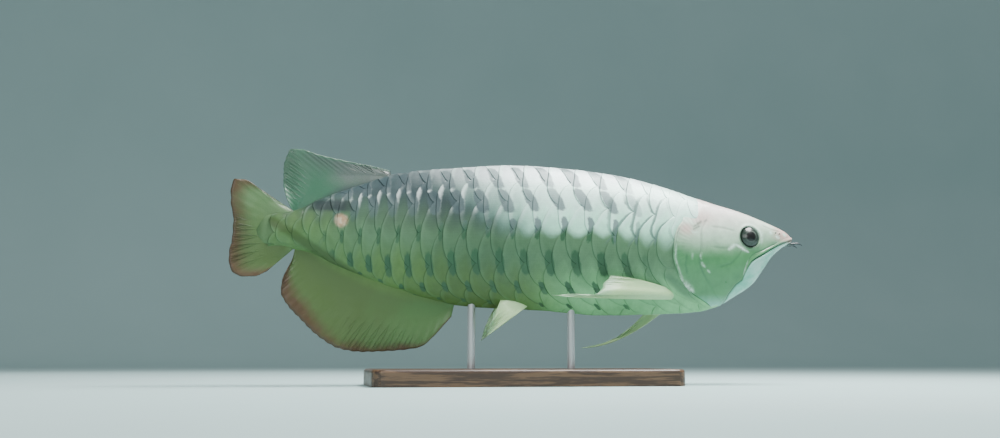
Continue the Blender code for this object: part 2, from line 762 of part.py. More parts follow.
def middle_fin(name, rays, stations, base, edge_at, inwards, margin, spread, sizes, finish):
    """A fin on the fish's middle plane, cut to stand on the scales of its base.

    spread bends the share of the base into the share of the margin that a ray ends at.
    """
    margin_at = along([(x, 0.0, z) for x, z in margin])

    def root(s):
        x = base[0] + (base[1] - base[0]) * s
        return Vector((x, 0, edge_at(x) + inwards * ROOT_DEPTH))

    made = fin(name, rays, stations, root, lambda s: margin_at(s ** spread),
               ray_thickness(*sizes), finish)
    combine(made, [trunk_block("clear", GAP)], "DIFFERENCE")
    return made


def build_caudal(finish):
    """The rounded tail fin, thick where the scaled flesh runs out on it."""
    margin = along([(x, 0.0, z) for x, z in CAUDAL_MARGIN])
    x = CAUDAL_CUT - GAP
    inset = 0.001
    top, bottom = back_at(x) - inset, belly_at(x) + inset
    plain = ray_thickness(*CAUDAL_THICKNESS)

    def root(s):
        return Vector((x, 0, top + (bottom - top) * s))

    def thickness(s, t, on_ray):
        flesh = flank(x, root(s).z) * (1 - smooth_step(0.0, CAUDAL_FLESH_SHARE, t))
        return max(flesh, plain(s, t, on_ray))

    return fin("caudal_fin", CAUDAL_RAYS, 6, root, margin, thickness, finish)


def side_fin(name, side, rays, stations, ends, tips, bows, sizes, finish):
    """A paired fin, which leaves the flank at two named places of its side view."""
    margin = along([(x, side * y, z) for x, y, z in tips])
    roots = [Vector((x + 0.004, side * (flank(x, z) - ROOT_DEPTH), z + 0.001)) for x, z in ends]
    first_bow, last_bow = [Vector((x, side * y, z)) for x, y, z in bows]
    made = fin(name, rays, stations, lambda s: roots[0].lerp(roots[1], s), margin,
               ray_thickness(*sizes), finish, lambda s: first_bow.lerp(last_bow, s))
    combine(made, [trunk_block("clear", GAP)], "DIFFERENCE")
    return made


def build_fins(olive, pale):
    """The three fins of the middle plane and the two pairs."""
    made = [
        middle_fin("dorsal_fin", DORSAL_RAYS, 4, DORSAL_BASE, back_at, -1, DORSAL_MARGIN,
                   0.6, DORSAL_THICKNESS, olive),
        middle_fin("anal_fin", ANAL_RAYS, 5, ANAL_BASE, belly_at, 1, ANAL_MARGIN,
                   0.75, ANAL_THICKNESS, olive),
        build_caudal(olive),
    ]
    for side, word in SIDES:
        made.append(side_fin(f"pectoral_fin_{word}", side, PECTORAL_RAYS, 7, PECTORAL_ROOT,
                             PECTORAL_TIPS[word], PECTORAL_BOWS[word], PECTORAL_THICKNESS, pale))
        made.append(side_fin(f"pelvic_fin_{word}", side, PELVIC_RAYS, 4, PELVIC_ROOT,
                             PELVIC_TIPS, PELVIC_BOWS, PELVIC_THICKNESS, pale))
    return made


# Pose and stand

def posed(point):
    """A point of the straight, level fish moved to its place on the stand."""
    x, y, z = point
    if x < BEND_START:
        y -= BEND_DEPTH * ((BEND_START - x) / BEND_REACH) ** 2
    return Vector((
        x,
        y * cos(BANK) + z * sin(BANK),
        z * cos(BANK) - y * sin(BANK) + MIDLINE_HEIGHT,
    ))


def pose(obj):
    """Bend, bank and lift a finished piece."""
    for vertex in obj.data.vertices:
        vertex.co = posed(vertex.co)


def shade(obj):
    """Smooth shading with sharp edges where the surface turns quickly."""
    obj.data.shade_smooth()
    obj.data.set_sharp_from_angle(angle=radians(32))


def build_stand(wood, steel):
    """A flat wooden base with two upright rods whose tops cup the belly."""
    height = STAND_BASE_SIZE[2]
    made = bmesh.new()
    bmesh.ops.create_cube(made, size=1.0)
    bmesh.ops.scale(made, verts=made.verts, vec=STAND_BASE_SIZE)
    bmesh.ops.translate(made, verts=made.verts, vec=(0, 0, height / 2))
    upright = [e for e in made.edges if abs(e.verts[0].co.z - e.verts[1].co.z) > height / 2]
    bmesh.ops.bevel(
        made, geom=upright, offset=STAND_CORNER, segments=5, profile=0.5, affect="EDGES"
    )
    top = [e for e in made.edges if min(v.co.z for v in e.verts) > height - 1e-5]
    bmesh.ops.bevel(
        made, geom=top, offset=STAND_EDGE, segments=3, profile=0.5, affect="EDGES"
    )
    parts = [object_from("stand_base", made, wood)]
    for word, x in STAND_ROD_PLACES.items():
        keel = posed((x, 0, belly_at(x)))
        path = [(x, keel.y, height + GAP), (x, keel.y, keel.z + STAND_ROD_RADIUS * 1.5)]
        sizes = [(STAND_ROD_RADIUS, STAND_ROD_RADIUS)] * 2
        rod = tube(f"stand_rod_{word}", path, sizes, 20, Vector((1, 0, 0)))
        clear = trunk_block("clear", GAP)
        pose(clear)
        combine(rod, [clear], "DIFFERENCE")
        rod.data.materials.append(steel)
        parts.append(rod)
    return parts


def material(name, colour, roughness, metallic=0.0):
    """A plain finish of one colour."""
    made = bpy.data.materials.new(name)
    made.use_nodes = True
    shader = made.node_tree.nodes["Principled BSDF"]
    shader.inputs["Base Color"].default_value = (*colour, 1)
    shader.inputs["Roughness"].default_value = roughness
    shader.inputs["Metallic"].default_value = metallic
    return made


def main():
    """Build every piece, move those of the fish to their pose and shade them."""
    for obj in list(bpy.data.objects):
        bpy.data.objects.remove(obj)
    scales = material("scales", (0.40, 0.45, 0.40), 0.35, 0.25)
    head_skin = material("head_skin", (0.42, 0.47, 0.38), 0.38, 0.15)
    glass = material("eye", (0.03, 0.045, 0.035), 0.08)
    olive = material("fin_olive", (0.16, 0.19, 0.09), 0.42)
    pale = material("fin_pale", (0.55, 0.50, 0.40), 0.42)
    dark = material("barbel", (0.08, 0.10, 0.08), 0.45)
    wood = material("stand_wood", (0.12, 0.07, 0.04), 0.45)
    steel = material("stand_steel", (0.62, 0.63, 0.64), 0.28, 1.0)
    fish = build_head(head_skin) + build_trunk(scales) + build_eyes(glass)
    fish += build_barbels(dark) + build_fins(olive, pale)
    for obj in fish:
        pose(obj)
    for obj in fish + build_stand(wood, steel):
        shade(obj)


main()
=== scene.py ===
"""Finished look of the Asian arowana display model: skin, scales, fins, eyes and stand.

Sizes are in metres. As in the solids, the fish is worked out straight and level along X,
with its head at +X, its left side at +Y and Z measured from about the middle of its eye,
and every piece is then bent, banked and lifted to its place.
"""

from math import cos, pi, radians, sin

import bpy
import numpy as np
from mathutils import Matrix, Vector


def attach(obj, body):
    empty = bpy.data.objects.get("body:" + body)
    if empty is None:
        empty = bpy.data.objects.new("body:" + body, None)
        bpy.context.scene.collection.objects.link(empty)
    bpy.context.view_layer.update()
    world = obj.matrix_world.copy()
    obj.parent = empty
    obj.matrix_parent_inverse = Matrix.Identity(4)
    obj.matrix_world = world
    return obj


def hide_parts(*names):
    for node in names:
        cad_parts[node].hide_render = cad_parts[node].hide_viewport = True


bl_info = {
    "name": "Asian arowana display model",
    "version": (1, 0, 0),
    "blender": (4, 5, 0),
    "location": "3D View > Sidebar > Arowana",
    "description": "Builds the skin, scales, fins, eyes, stand finish and studio of the model",
    "category": "Object",
}

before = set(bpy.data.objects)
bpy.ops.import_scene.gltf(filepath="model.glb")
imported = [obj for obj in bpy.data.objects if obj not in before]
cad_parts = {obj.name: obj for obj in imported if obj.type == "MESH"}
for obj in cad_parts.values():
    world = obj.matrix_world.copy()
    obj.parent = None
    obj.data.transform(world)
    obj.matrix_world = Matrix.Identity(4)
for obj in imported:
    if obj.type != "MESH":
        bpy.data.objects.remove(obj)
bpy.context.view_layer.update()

# Pose, the same as in the solids
BANK = radians(6)
BEND_START = -0.090
BEND_REACH = 0.190
BEND_DEPTH = 0.024
MIDLINE_HEIGHT = 0.146

# Body lines, the same as in the solids up to the tail, where they thin out into the fin
WIDEST_SHARE = 0.56
BODY_TOP = 0.090
BACK_LINE = (
    (-0.262, 0.0170), (-0.240, 0.0165), (-0.224, 0.0190), (-0.198, 0.0320),
    (-0.159, 0.0485), (-0.120, 0.0625), (-0.070, 0.0690), (0.000, 0.0740),
    (0.055, 0.0715), (0.106, 0.0655), (0.149, 0.0555), (0.191, 0.0425),
    (0.235, 0.0303), (0.267, 0.0175), (0.281, 0.0108), (0.286, 0.0066), (0.2887, 0.0026),
)
BELLY_LINE = (
    (-0.262, -0.0180), (-0.240, -0.0165), (-0.224, -0.0177), (-0.205, -0.0215),
    (-0.183, -0.0325), (-0.120, -0.0552), (-0.081, -0.0659), (-0.050, -0.0697),
    (0.020, -0.0728), (0.080, -0.0770), (0.140, -0.0755), (0.182, -0.0728),
    (0.203, -0.0675), (0.224, -0.0563), (0.243, -0.0440), (0.255, -0.0290),
    (0.267, -0.0140), (0.279, -0.0045), (0.286, -0.0006), (0.2887, 0.0018),
)
HALF_WIDTH = (
    (-0.262, 0.0008), (-0.252, 0.0022), (-0.240, 0.0060), (-0.224, 0.0090),
    (-0.190, 0.0125), (-0.150, 0.0165), (-0.100, 0.0220), (-0.050, 0.0265),
    (0.000, 0.0295), (0.080, 0.0315), (0.150, 0.0305), (0.190, 0.0275),
    (0.235, 0.0225), (0.262, 0.0178), (0.276, 0.0132), (0.284, 0.0085), (0.2887, 0.0042),
)
BACK_FULLNESS = ((-0.200, 2.2), (0.150, 2.4), (0.210, 3.6), (0.288, 2.6))
BELLY_FULLNESS = ((-0.200, 2.0), (0.150, 1.8), (0.230, 2.2), (0.288, 2.2))
KEEL_ROUNDNESS = ((-0.200, 1.6), (0.000, 1.3), (0.180, 1.3), (0.240, 1.7), (0.288, 2.0))

# Head
GILL_EDGE = (
    (-0.080, 0.2190), (-0.070, 0.1990), (-0.065, 0.1890), (-0.054, 0.1680),
    (-0.037, 0.1545), (-0.020, 0.1490), (-0.0045, 0.1505), (0.006, 0.1540),
    (0.014, 0.1600), (0.025, 0.1640), (0.040, 0.1680), (0.062, 0.1780),
)
GILL_REAR = 0.149
HEAD_FOLLOW = ((0.0, 1.0), (0.031, 0.75), (0.085, 0.0), (0.140, 0.0))
COVER_RISE = 0.0018
COVER_REACH = 0.034
COVER_LIP = 0.0022
CHEEK_RISE = 0.0009
# The gill cover's rolled edge: shift along X and height over the body
COVER_FOLD = (
    (0.0070, -0.0008), (0.0068, -0.0001), (0.0035, 0.0003), (0.0008, 0.0005), (0.0, 0.0008),
    (-0.0003, 0.0012), (0.0, 0.0015), (0.0005, 0.0017), (0.0014, 0.0018),
)
MOUTH_LINE = (
    (0.2265, -0.0425), (0.2280, -0.0379), (0.2320, -0.0295), (0.2370, -0.0232),
    (0.2480, -0.0168), (0.2590, -0.0103), (0.2740, -0.0026), (0.2870, 0.0018),
    (0.2887, 0.0022),
)
JAW_REAR = (
    (0.2265, -0.0425), (0.2200, -0.0470), (0.2130, -0.0560), (0.2080, -0.0670),
    (0.2040, -0.0850),
)
JAW_REAR_BY_HEIGHT = (
    (-0.085, -0.067, -0.056, -0.047, -0.0425, 0.0),
    (0.204, 0.208, 0.213, 0.220, 0.2265, 0.24),
)
EYE_CENTRE = (0.2347, 0.0203, 0.0012)
EYE_RADIUS = 0.0105
EYE_BULGE = 0.0056
# Radii round the eye's middle: the hole's floor and edge, its rim and the painted highlight on
# that
EYE_HOLE, EYE_RIM, EYE_HIGHLIGHT = (0.0092, 0.0114), 0.0122, 0.0134
# Painted shade round the eye, on the side view: its middle and the radii at which it fades
EYE_SHADE = (0.2334, 0.0005)
EYE_SHADE_REACH = (0.0106, 0.0120)
# Lips: how far over the mouth line, half width and height
LIPS = ((0.0019, 0.0015, 0.0011), (-0.0017, 0.0012, 0.0010))
# Nostrils: place on the side view, radius and height of the rim
NOSTRILS = ((0.2700, 0.0062, 0.0013, 0.0006), (0.2655, 0.0068, 0.0015, 0.0003))
# Painted highlights on the head: a line on the side view, its width and its strength
PAINTED_HIGHLIGHTS = (
    (((0.1512, -0.0390), (0.1600, -0.0475), (0.1730, -0.0545)), 0.0034, 0.95),
    (((0.2092, -0.0134), (0.2150, -0.0088), (0.2185, -0.0070)), 0.0016, 1.30),
    (((0.2180, -0.0070), (0.2240, -0.0104), (0.2325, -0.0150)), 0.0014, 1.20),
    (((0.1798, -0.0165), (0.1786, -0.0205), (0.1794, -0.0240)), 0.0009, 0.50),
    (((0.1800, -0.0262), (0.1812, -0.0290), (0.1838, -0.0316)), 0.0012, 0.65),
    (((0.1860, -0.0338), (0.1890, -0.0368)), 0.0011, 0.60),
    (((0.1702, -0.0170), (0.1694, -0.0245)), 0.0010, 0.35),
    (((0.2318, -0.0225), (0.2290, -0.0300), (0.2270, -0.0380)), 0.0008, 0.50),
    (((0.2582, 0.0078), (0.2612, 0.0062)), 0.0017, 1.60),
    (((0.2650, 0.0042), (0.2700, 0.0018)), 0.0016, 1.40),
    (((0.2745, 0.0072), (0.2790, 0.0048)), 0.0014, 1.20),
    (((0.1690, 0.0052), (0.1720, 0.0026), (0.1800, 0.0046)), 0.0010, 0.80),
    (((0.2480, 0.0010), (0.2500, 0.0080)), 0.0016, 0.60),
)
# Pits on the nape, painted as shade only: each a line on the side view
NAPE_PITS = (
    ((0.1718, 0.0062), (0.1786, 0.0098)), ((0.1726, 0.0092), (0.1800, 0.0134)),
    ((0.1765, 0.0124), (0.1812, 0.0150)), ((0.1852, 0.0150), (0.1872, 0.0168)),
)
# Grooves between the head's plates and under the throat, and their depths; shade is painted in
# them
PLATE_GROOVES = (
    (((0.2225, -0.0060), (0.2140, -0.0105), (0.2050, -0.0120), (0.1880, -0.0110)), 0.00035),
    (((0.2265, -0.0100), (0.2210, -0.0190), (0.2120, -0.0270), (0.1960, -0.0320)), 0.00030),
    (((0.2190, 0.0065), (0.2060, 0.0090), (0.1900, 0.0100)), 0.00030),
    (((0.1640, -0.0180), (0.1625, -0.0290), (0.1650, -0.0400)), 0.00025),
    (((0.2060, -0.0690), (0.1930, -0.0690), (0.1760, -0.0660)), 0.00055),
    (((0.2500, 0.0150), (0.2600, 0.0110), (0.2720, 0.0085)), 0.00020),
)
# Pink spots: middle, stretch along X, radius and strength
BLUSH_SPOTS = (((0.1640, 0.0065), 0.75, 0.0065, 0.90), ((0.1800, 0.0200), 0.60, 0.0095, 0.62))
BONE_CENTRE = (0.184, -0.010)
BARBEL_PATH = (
    (0.2840, 0.0026, -0.0012), (0.2885, 0.0040, -0.0018), (0.2925, 0.0052, -0.0012),
    (0.2960, 0.0060, -0.0020), (0.2985, 0.0064, -0.0036),
)
BARBEL_RADII = (0.0014, 0.0013, 0.0012, 0.0009, 0.00025)

# The skin's grid: it narrows at the taper into the web of the tail fin
SKIN_TAPER = (-0.240, -0.2575)
TRUNK_RINGS = 54
HEAD_MIDDLE, SNOUT_START, SNOUT_LENGTH = 0.222, 0.2875, 0.0012
POINTS_OVER_MOUTH, POINTS_UNDER_MOUTH = 108, 54
FOLD = slice(TRUNK_RINGS, TRUNK_RINGS + len(COVER_FOLD))
UNDER_SCALES = -0.0004

# Scales: rows are counted from the back to the belly and up the other side, columns from
# the gill cover to the tail
SCALE_ROWS = 14
HALF_ROWS = SCALE_ROWS // 2
SCALE_COLUMNS = (
    (-3.0, 0.205), (-1.5, 0.173), (0.0, 0.141), (2.0, 0.101), (6.0, 0.000),
    (11.0, -0.113), (18.0, -0.232), (19.0, -0.246), (20.5, -0.262),
)
SCALE_FOLLOW = ((-0.262, 0.2), (0.060, 0.55), (0.141, 1.0), (0.200, 1.0))
# Tips of scales stand at half columns; the rows on back and belly end before the others
LAST_TIP, LAST_RIDGE_TIP = 38, 35
NAPE_SPOTS = [(-0.5, 1), (-0.5, 13)]
SCALE_SLOPE = 0.70
SCALE_THICKNESS = 0.55
NARROW_ROW = (0.0025, 0.012)
TAIL_FADE = (-0.250, -0.200)
ROW_SQUEEZE = 0.0012
# Powers that shape a scale's rear edge
EDGE_CURVE = (2.2, 0.62)
# The helper sheet's first and last column and row, and how many lines it has of each
SHEET_COLUMNS, SHEET_ROWS = (-3.0, 20.4, 187), (-2, 16, 145)
# Where the sheet's unit square begins on the lattice, and its size
LATTICE_START = (-3.5, -3.0)
LATTICE_SPAN = (26.0, 20.0)
# Rows, counted up from the belly, whose dark marks are smaller, and by how much
SMALLER_MARKS = ((4, 0.42), (2, 0.32), (1, 0.55), (0, 1.0), (7, 0.4))
BORDER_TINGE = (0.66, 0.93, 0.77)
# Middle of the scar of a lost scale
SCAR = (-0.1778, 0.0094)
ROW_LEVELS = (
    ((-0.228, 0.0175), (-0.140, 0.0450), (-0.024, 0.0535), (0.060, 0.0505), (0.149, 0.0390)),
    ((-0.228, 0.0105), (-0.179, 0.0158), (-0.140, 0.0245), (-0.024, 0.0310), (0.149, 0.0190)),
    ((-0.228, -0.0040), (-0.179, -0.0057), (-0.140, -0.0042), (-0.024, 0.0020), (0.149, -0.0060)),
    ((-0.228, -0.0165), (-0.179, -0.0271), (-0.140, -0.0345), (-0.024, -0.0298), (0.149, -0.0330)),
    ((-0.179, -0.0400), (-0.120, -0.0530), (-0.024, -0.0523), (0.080, -0.0540), (0.149, -0.0540)),
    ((-0.120, -0.0600), (-0.024, -0.0660), (0.080, -0.0700), (0.149, -0.0680), (0.200, -0.0640)),
)

# Fins: the ends of the base along X, the (x, z) of the margin and the rays' count
ROOT_DEPTH = 0.006
MIDDLE_FINS = {
    "dorsal": {
        "rays": 20, "spread": 0.6, "base": (-0.128, -0.221), "flesh": 0.0022, "margin_from": 0.80,
        "margin": (
            (-0.1300, 0.0655), (-0.1500, 0.0695), (-0.1740, 0.0728), (-0.2000, 0.0770),
            (-0.2180, 0.0815), (-0.2260, 0.0812), (-0.2305, 0.0735), (-0.2330, 0.0630),
            (-0.2330, 0.0470), (-0.2305, 0.0345), (-0.2260, 0.0240),
        ),
    },
    "anal": {
        "rays": 26, "spread": 0.75, "base": (-0.066, -0.219), "flesh": 0.0024, "margin_from": 0.78,
        "margin": (
            (-0.0700, -0.0800), (-0.0810, -0.0925), (-0.0900, -0.1020), (-0.1000, -0.1095),
            (-0.1180, -0.1125), (-0.1390, -0.1140), (-0.1580, -0.1147), (-0.1770, -0.1121),
            (-0.1960, -0.1020), (-0.2150, -0.0844), (-0.2280, -0.0700), (-0.2330, -0.0590),
            (-0.2320, -0.0480), (-0.2280, -0.0380), (-0.2230, -0.0290),
        ),
    },
    "caudal": {
        "rays": 16, "spread": 1.0, "base": (-0.222, -0.222), "flesh": 0.0036, "margin_from": 0.62,
        "margin": (
            (-0.2400, 0.0300), (-0.2540, 0.0386), (-0.2690, 0.0465), (-0.2770, 0.0465),
            (-0.2810, 0.0360), (-0.2805, 0.0220), (-0.2780, 0.0080), (-0.2785, -0.0090),
            (-0.2810, -0.0260), (-0.2805, -0.0350), (-0.2770, -0.0430), (-0.2690, -0.0468),
            (-0.2570, -0.0460), (-0.2470, -0.0410),
        ),
    },
}
SIDE_FINS = {
    "pectoral_fin_right": {
        "side": -1, "rays": 7, "root": ((0.1660, -0.0620), (0.1570, -0.0535)),
        "tips": (
            (0.0163, 0.0620, -0.0674), (0.0560, 0.0570, -0.0670), (0.0674, 0.0530, -0.0606),
            (0.0707, 0.0490, -0.0541), (0.0804, 0.0440, -0.0443),
        ),
        "bows": ((0.0, 0.0100, -0.0030), (0.0, 0.0080, 0.0)),
    },
    "pectoral_fin_left": {
        "side": 1, "rays": 7, "root": ((0.1660, -0.0620), (0.1570, -0.0535)),
        "tips": (
            (0.0734, 0.0560, -0.1037), (0.0931, 0.0530, -0.0998), (0.1050, 0.0490, -0.0962),
            (0.1110, 0.0450, -0.0925), (0.1210, 0.0400, -0.0867),
        ),
        "bows": ((0.0, 0.0100, -0.0110), (0.0, 0.0020, 0.0)),
    },
    "pelvic_fin_right": {
        "side": -1, "rays": 6, "root": ((0.0150, -0.0665), (-0.0150, -0.0620)),
        "tips": (
            (-0.0380, 0.0190, -0.1010), (-0.0365, 0.0190, -0.0955),
            (-0.0340, 0.0185, -0.0880), (-0.0300, 0.0180, -0.0790),
        ),
        "bows": ((0.0, 0.003, 0.0), (0.0, 0.003, 0.0)),
    },
}
SIDE_FINS["pelvic_fin_left"] = dict(SIDE_FINS["pelvic_fin_right"], side=1)

LINES_PER_RAY, WEB_STATIONS, SIDE_WEB_STATIONS = 6, 22, 24
RAY_STATIONS, RAY_SIDES = 9, 6
WEB_WAVE, WEB_RIPPLE = 0.0016, 0.0001
# A fin ray's parts: shares of its length, and offsets at their ends in gaps between rays
RAY_PARTS = [(0.0, 0.55, 0.0, 0.0)]
RAY_PARTS += [(0.50, 0.80, 0.0, 0.22 * way) for way in (-1, 1)]
RAY_PARTS += [(0.76, 0.995, 0.22 * way, 0.22 * way + 0.12 * fork)
              for way in (-1, 1) for fork in (-1, 1)]
# Colours of a middle fin: front, rear, light streaks, dark streaks and margin
FIN_TINTS = {
    "dorsal": ("dorsal_front", "dorsal_rear", "streak", "web_dark", "margin_green"),
    "anal": ("web_green", "web_olive", "streak", "web_dark", "margin_brown"),
    "caudal": ("caudal", "web_olive", "streak", "web_dark", "margin_brown"),
}
SIDES = ((-1, "right"), (1, "left"))
EYE_GRID, BARBEL_GRID = (26, 72), (18, 12)

STAND_NODES = {"stand_base": "stand_wood", "stand_rod_front": "stand_steel",
               "stand_rod_back": "stand_steel"}

SOCKETS = {
    "number": "NodeSocketFloat", "vector": "NodeSocketVector", "colour": "NodeSocketColor",
    "whole": "NodeSocketInt", "object": "NodeSocketObject", "finish": "NodeSocketMaterial",
    "shape": "NodeSocketGeometry",
}


# Curves and the body's plain surface

def curve(points):
    """A smooth function through (place, value) points that doesn't overshoot them."""
    places, values = np.array(points, float).T
    steps = np.diff(places)
    slopes = np.diff(values) / steps
    before, after = slopes[:-1], slopes[1:]
    total = np.where(before + after == 0, 1.0, before + after)
    inner = np.where(before * after > 0, 2 * before * after / total, 0.0)
    tangents = np.concatenate(([slopes[0]], inner, [slopes[-1]]))

    def at(place):
        """The value at a place."""
        place = np.clip(place, places[0], places[-1])
        i = np.clip(np.searchsorted(places, place, side="right") - 1, 0, len(steps) - 1)
        t = (place - places[i]) / steps[i]
        rise = values[i] * (1 + 2 * t) * (1 - t) ** 2 + values[i + 1] * t * t * (3 - 2 * t)
        lean = tangents[i] * t * (1 - t) ** 2 - tangents[i + 1] * t * t * (1 - t)
        return rise + lean * steps[i]

    return at


def along(points):
    """A function that gives the places at shares of the length of a smooth line."""
    points = np.array(points, float)
    lengths = np.concatenate(([0.0], np.cumsum(np.linalg.norm(np.diff(points, axis=0), axis=1))))
    axes = [curve(np.column_stack((lengths / lengths[-1], points[:, n]))) for n in range(3)]
    return lambda share: np.stack([axis(share) for axis in axes], axis=-1)


def smooth(low, high, value):
    """0 below low, 1 above high and a smooth rise between them."""
    t = np.clip((value - low) / (high - low), 0.0, 1.0)
    return t * t * (3 - 2 * t)


def bump(distance, width):
    """1 at no distance, falling softly to 0 beyond about two widths."""
    return np.exp(-(distance / width) ** 2)


back_at = curve(BACK_LINE)
belly_at = curve(BELLY_LINE)
half_width_at = curve(HALF_WIDTH)
back_fullness_at = curve(BACK_FULLNESS)
belly_fullness_at = curve(BELLY_FULLNESS)
keel_roundness_at = curve(KEEL_ROUNDNESS)
gill_edge_at = curve(GILL_EDGE)
head_follow_at = curve(HEAD_FOLLOW)
column_start_at = curve(sorted(SCALE_COLUMNS))
column_follow_at = curve(SCALE_FOLLOW)
row_level_at = [curve(points) for points in ROW_LEVELS]
mouth_line_at = curve(MOUTH_LINE)


def flank(x, z):
    """Half the body's width at places on its side view."""
    top, bottom = back_at(x), belly_at(x)
    middle = bottom + WIDEST_SHARE * (top - bottom)
    up = np.clip((z - middle) / (top - middle), 0.0, 1.0)
    down = np.clip((middle - z) / (middle - bottom), 0.0, 1.0)
    above = np.sqrt(1 - up ** back_fullness_at(x))
    below = (1 - down ** belly_fullness_at(x)) ** (1 / keel_roundness_at(x))
    return half_width_at(x) * np.where(z >= middle, above, below)


def line_ends(start, follow):
    """The heights at which lines round the body meet the back and the belly."""
    ends = []
    for line_at, low_end, high_end in ((back_at, 0.0, BODY_TOP), (belly_at, -BODY_TOP, 0.002)):
        low, high = np.full(start.shape, low_end), np.full(start.shape, high_end)
        for _ in range(22):
            centre = (low + high) / 2
            x = start + follow * (gill_edge_at(centre) - GILL_REAR)
            beyond = centre > line_at(x)
            high = np.where(beyond, centre, high)
            low = np.where(beyond, low, centre)
        ends.append((low + high) / 2)
    return ends


def body_point(start, follow, turn):
    """Points of lines round the body, at turns of 0 on the back and pi on the belly."""
    start, follow, turn = np.broadcast_arrays(start, follow, turn)
    turn = np.mod(turn, 2 * pi)
    side = np.where(turn > pi, -1.0, 1.0)
    turn = np.minimum(turn, 2 * pi - turn)
    top, bottom = line_ends(start, follow)
    middle = bottom + WIDEST_SHARE * (top - bottom)
    reach = np.where(np.cos(turn) > 0, top - middle, middle - bottom)
    z = middle + reach * np.cos(turn)
    x = start + follow * (gill_edge_at(z) - GILL_REAR)
    on_middle_plane = np.minimum(turn, pi - turn) < 0.001
    y = np.where(on_middle_plane, 0.0, side * flank(x, z))
    return np.stack((x, y, z), axis=-1)


def skin_follow(start):
    """How far lines round the body follow the gill cover's edge."""
    return np.where(start < GILL_REAR, column_follow_at(start), head_follow_at(start - GILL_REAR))


def unit(vectors):
    """Vectors of length 1."""
    return vectors / np.maximum(np.linalg.norm(vectors, axis=-1, keepdims=True), 1e-12)


def body_normal(start, follow_at, turn):
    """The directions out of the body at turns of lines round it."""
    step, swing = 0.0006, 0.02
    ahead = body_point(start + step, follow_at(start + step), turn)
    behind = body_point(start - step, follow_at(start - step), turn)
    on = body_point(start, follow_at(start), turn + swing)
    off = body_point(start, follow_at(start), turn - swing)
    return unit(np.cross(ahead - behind, on - off))


def posed(points):
    """Points of the straight, level fish moved to their place on the stand."""
    x, y, z = np.moveaxis(np.asarray(points, float), -1, 0)
    y = y - BEND_DEPTH * (np.maximum(BEND_START - x, 0.0) / BEND_REACH) ** 2
    across = y * cos(BANK) + z * sin(BANK)
    upwards = z * cos(BANK) - y * sin(BANK) + MIDLINE_HEIGHT
    return np.stack((x, across, upwards), axis=-1)


# Meshes

def add_object(name, data):
    """Put an object into the scene."""
    obj = bpy.data.objects.new(name, data)
    bpy.context.scene.collection.objects.link(obj)
    return obj


def add_mesh(name, points, edges, faces, fields):
    """A mesh object with its named fields on its points."""
    mesh = bpy.data.meshes.new(name)
    mesh.from_pydata(np.asarray(points).tolist(), edges, faces)
    for field, values in fields.items():
        values = np.asarray(values, float)
        kind, part = ("FLOAT_VECTOR", "vector") if values.ndim == 2 else ("FLOAT", "value")
        mesh.attributes.new(field, kind, "POINT").data.foreach_set(part, values.ravel())
    return add_object(name, mesh)


def mesh_piece(name, points, faces, finish=None, fields=None, straight=None):
    """A smooth object from straight-fish points, whose own places are its field "place"."""
    straight = points if straight is None else straight
    piece = add_mesh(name, posed(points), [], faces, dict(fields or {}, place=straight))
    piece.data.shade_smooth()
    if finish:
        piece.data.materials.append(finish)
    return piece


def corner_points(mesh):
    """The number of the point at every corner of the faces."""
    corner = np.zeros(len(mesh.loops), int)
    mesh.loops.foreach_get("vertex_index", corner)
    return corner


def add_map(mesh, name, u, v):
    """Lay the corners of a mesh out flat."""
    mesh.uv_layers.new(name=name).data.foreach_set("uv", np.column_stack((u, v)).ravel())


def grid_faces(rows, columns, offset=0, closed=False, flip=False):
    """The quads of a grid of points, closed round its columns if asked."""
    faces = []
    for i in range(rows - 1):
        for k in range(columns if closed else columns - 1):
            j = (k + 1) % columns
            a, b = offset + i * columns, offset + (i + 1) * columns
            face = (a + k, a + j, b + j, b + k)
            faces.append(face[::-1] if flip else face)
    return faces


def capped_tube(rows, around, flip):
    """The faces of a tube whose ends close on the two points after its own."""
    count = rows * around
    faces = grid_faces(rows, around, closed=True, flip=flip)
    for k in range(around):
        j = (k + 1) % around
        fans = [(j, k, count), (count - around + k, count - around + j, count + 1)]
        faces += [fan[::-1] for fan in fans] if flip else fans
    return faces


def finished_copy(obj, name):
    """Turn an object with modifiers into a plain mesh object of that name."""
    view = bpy.context.evaluated_depsgraph_get()
    mesh = bpy.data.meshes.new_from_object(obj.evaluated_get(view))
    mesh.name = name
    return add_object(name, mesh)


def remove(*objects):
    """Take helper objects out of the scene."""
    for obj in objects:
        bpy.data.objects.remove(obj)


def fit(obj, slot, *nodes):
    """Let a finished piece ride with the model and stand for solids."""
    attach(obj, "root")
    if nodes:
        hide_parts(*nodes)


# Node trees

class Wire:
    """The output of a node, on which sums and products add further nodes."""

    def __init__(self, tree, socket):
        self.tree = tree
        self.socket = socket

    def __add__(self, other):
        return self.tree.math("ADD", self, other)

    def __sub__(self, other):
        return self.tree.math("SUBTRACT", self, other)

    def __rsub__(self, other):
        return self.tree.math("SUBTRACT", other, self)

    def __mul__(self, other):
        return self.tree.math("MULTIPLY", self, other)

    def __truediv__(self, other):
        return self.tree.math("DIVIDE", self, other)

    def __pow__(self, other):
        return self.tree.math("POWER", self, other)

    def __abs__(self):
        return self.tree.math("ABSOLUTE", self)

    def sine(self):
        """The sine of a number of radians."""
        return self.tree.math("SINE", self)

    def ease(self, low, high, to_low=0.0, to_high=1.0):
        """A smooth change from one value to another between two limits."""
        values = {"Value": self, "From Min": low, "From Max": high,
                  "To Min": to_low, "To Max": to_high}
        return self.tree.add("ShaderNodeMapRange", values, interpolation_type="SMOOTHSTEP")[0]


class Sockets:
    """The outputs of a node by name or number."""

    def __init__(self, tree, sockets):
        self.tree = tree
        self.sockets = sockets

    def __getitem__(self, key):
        return Wire(self.tree, self.sockets[key])


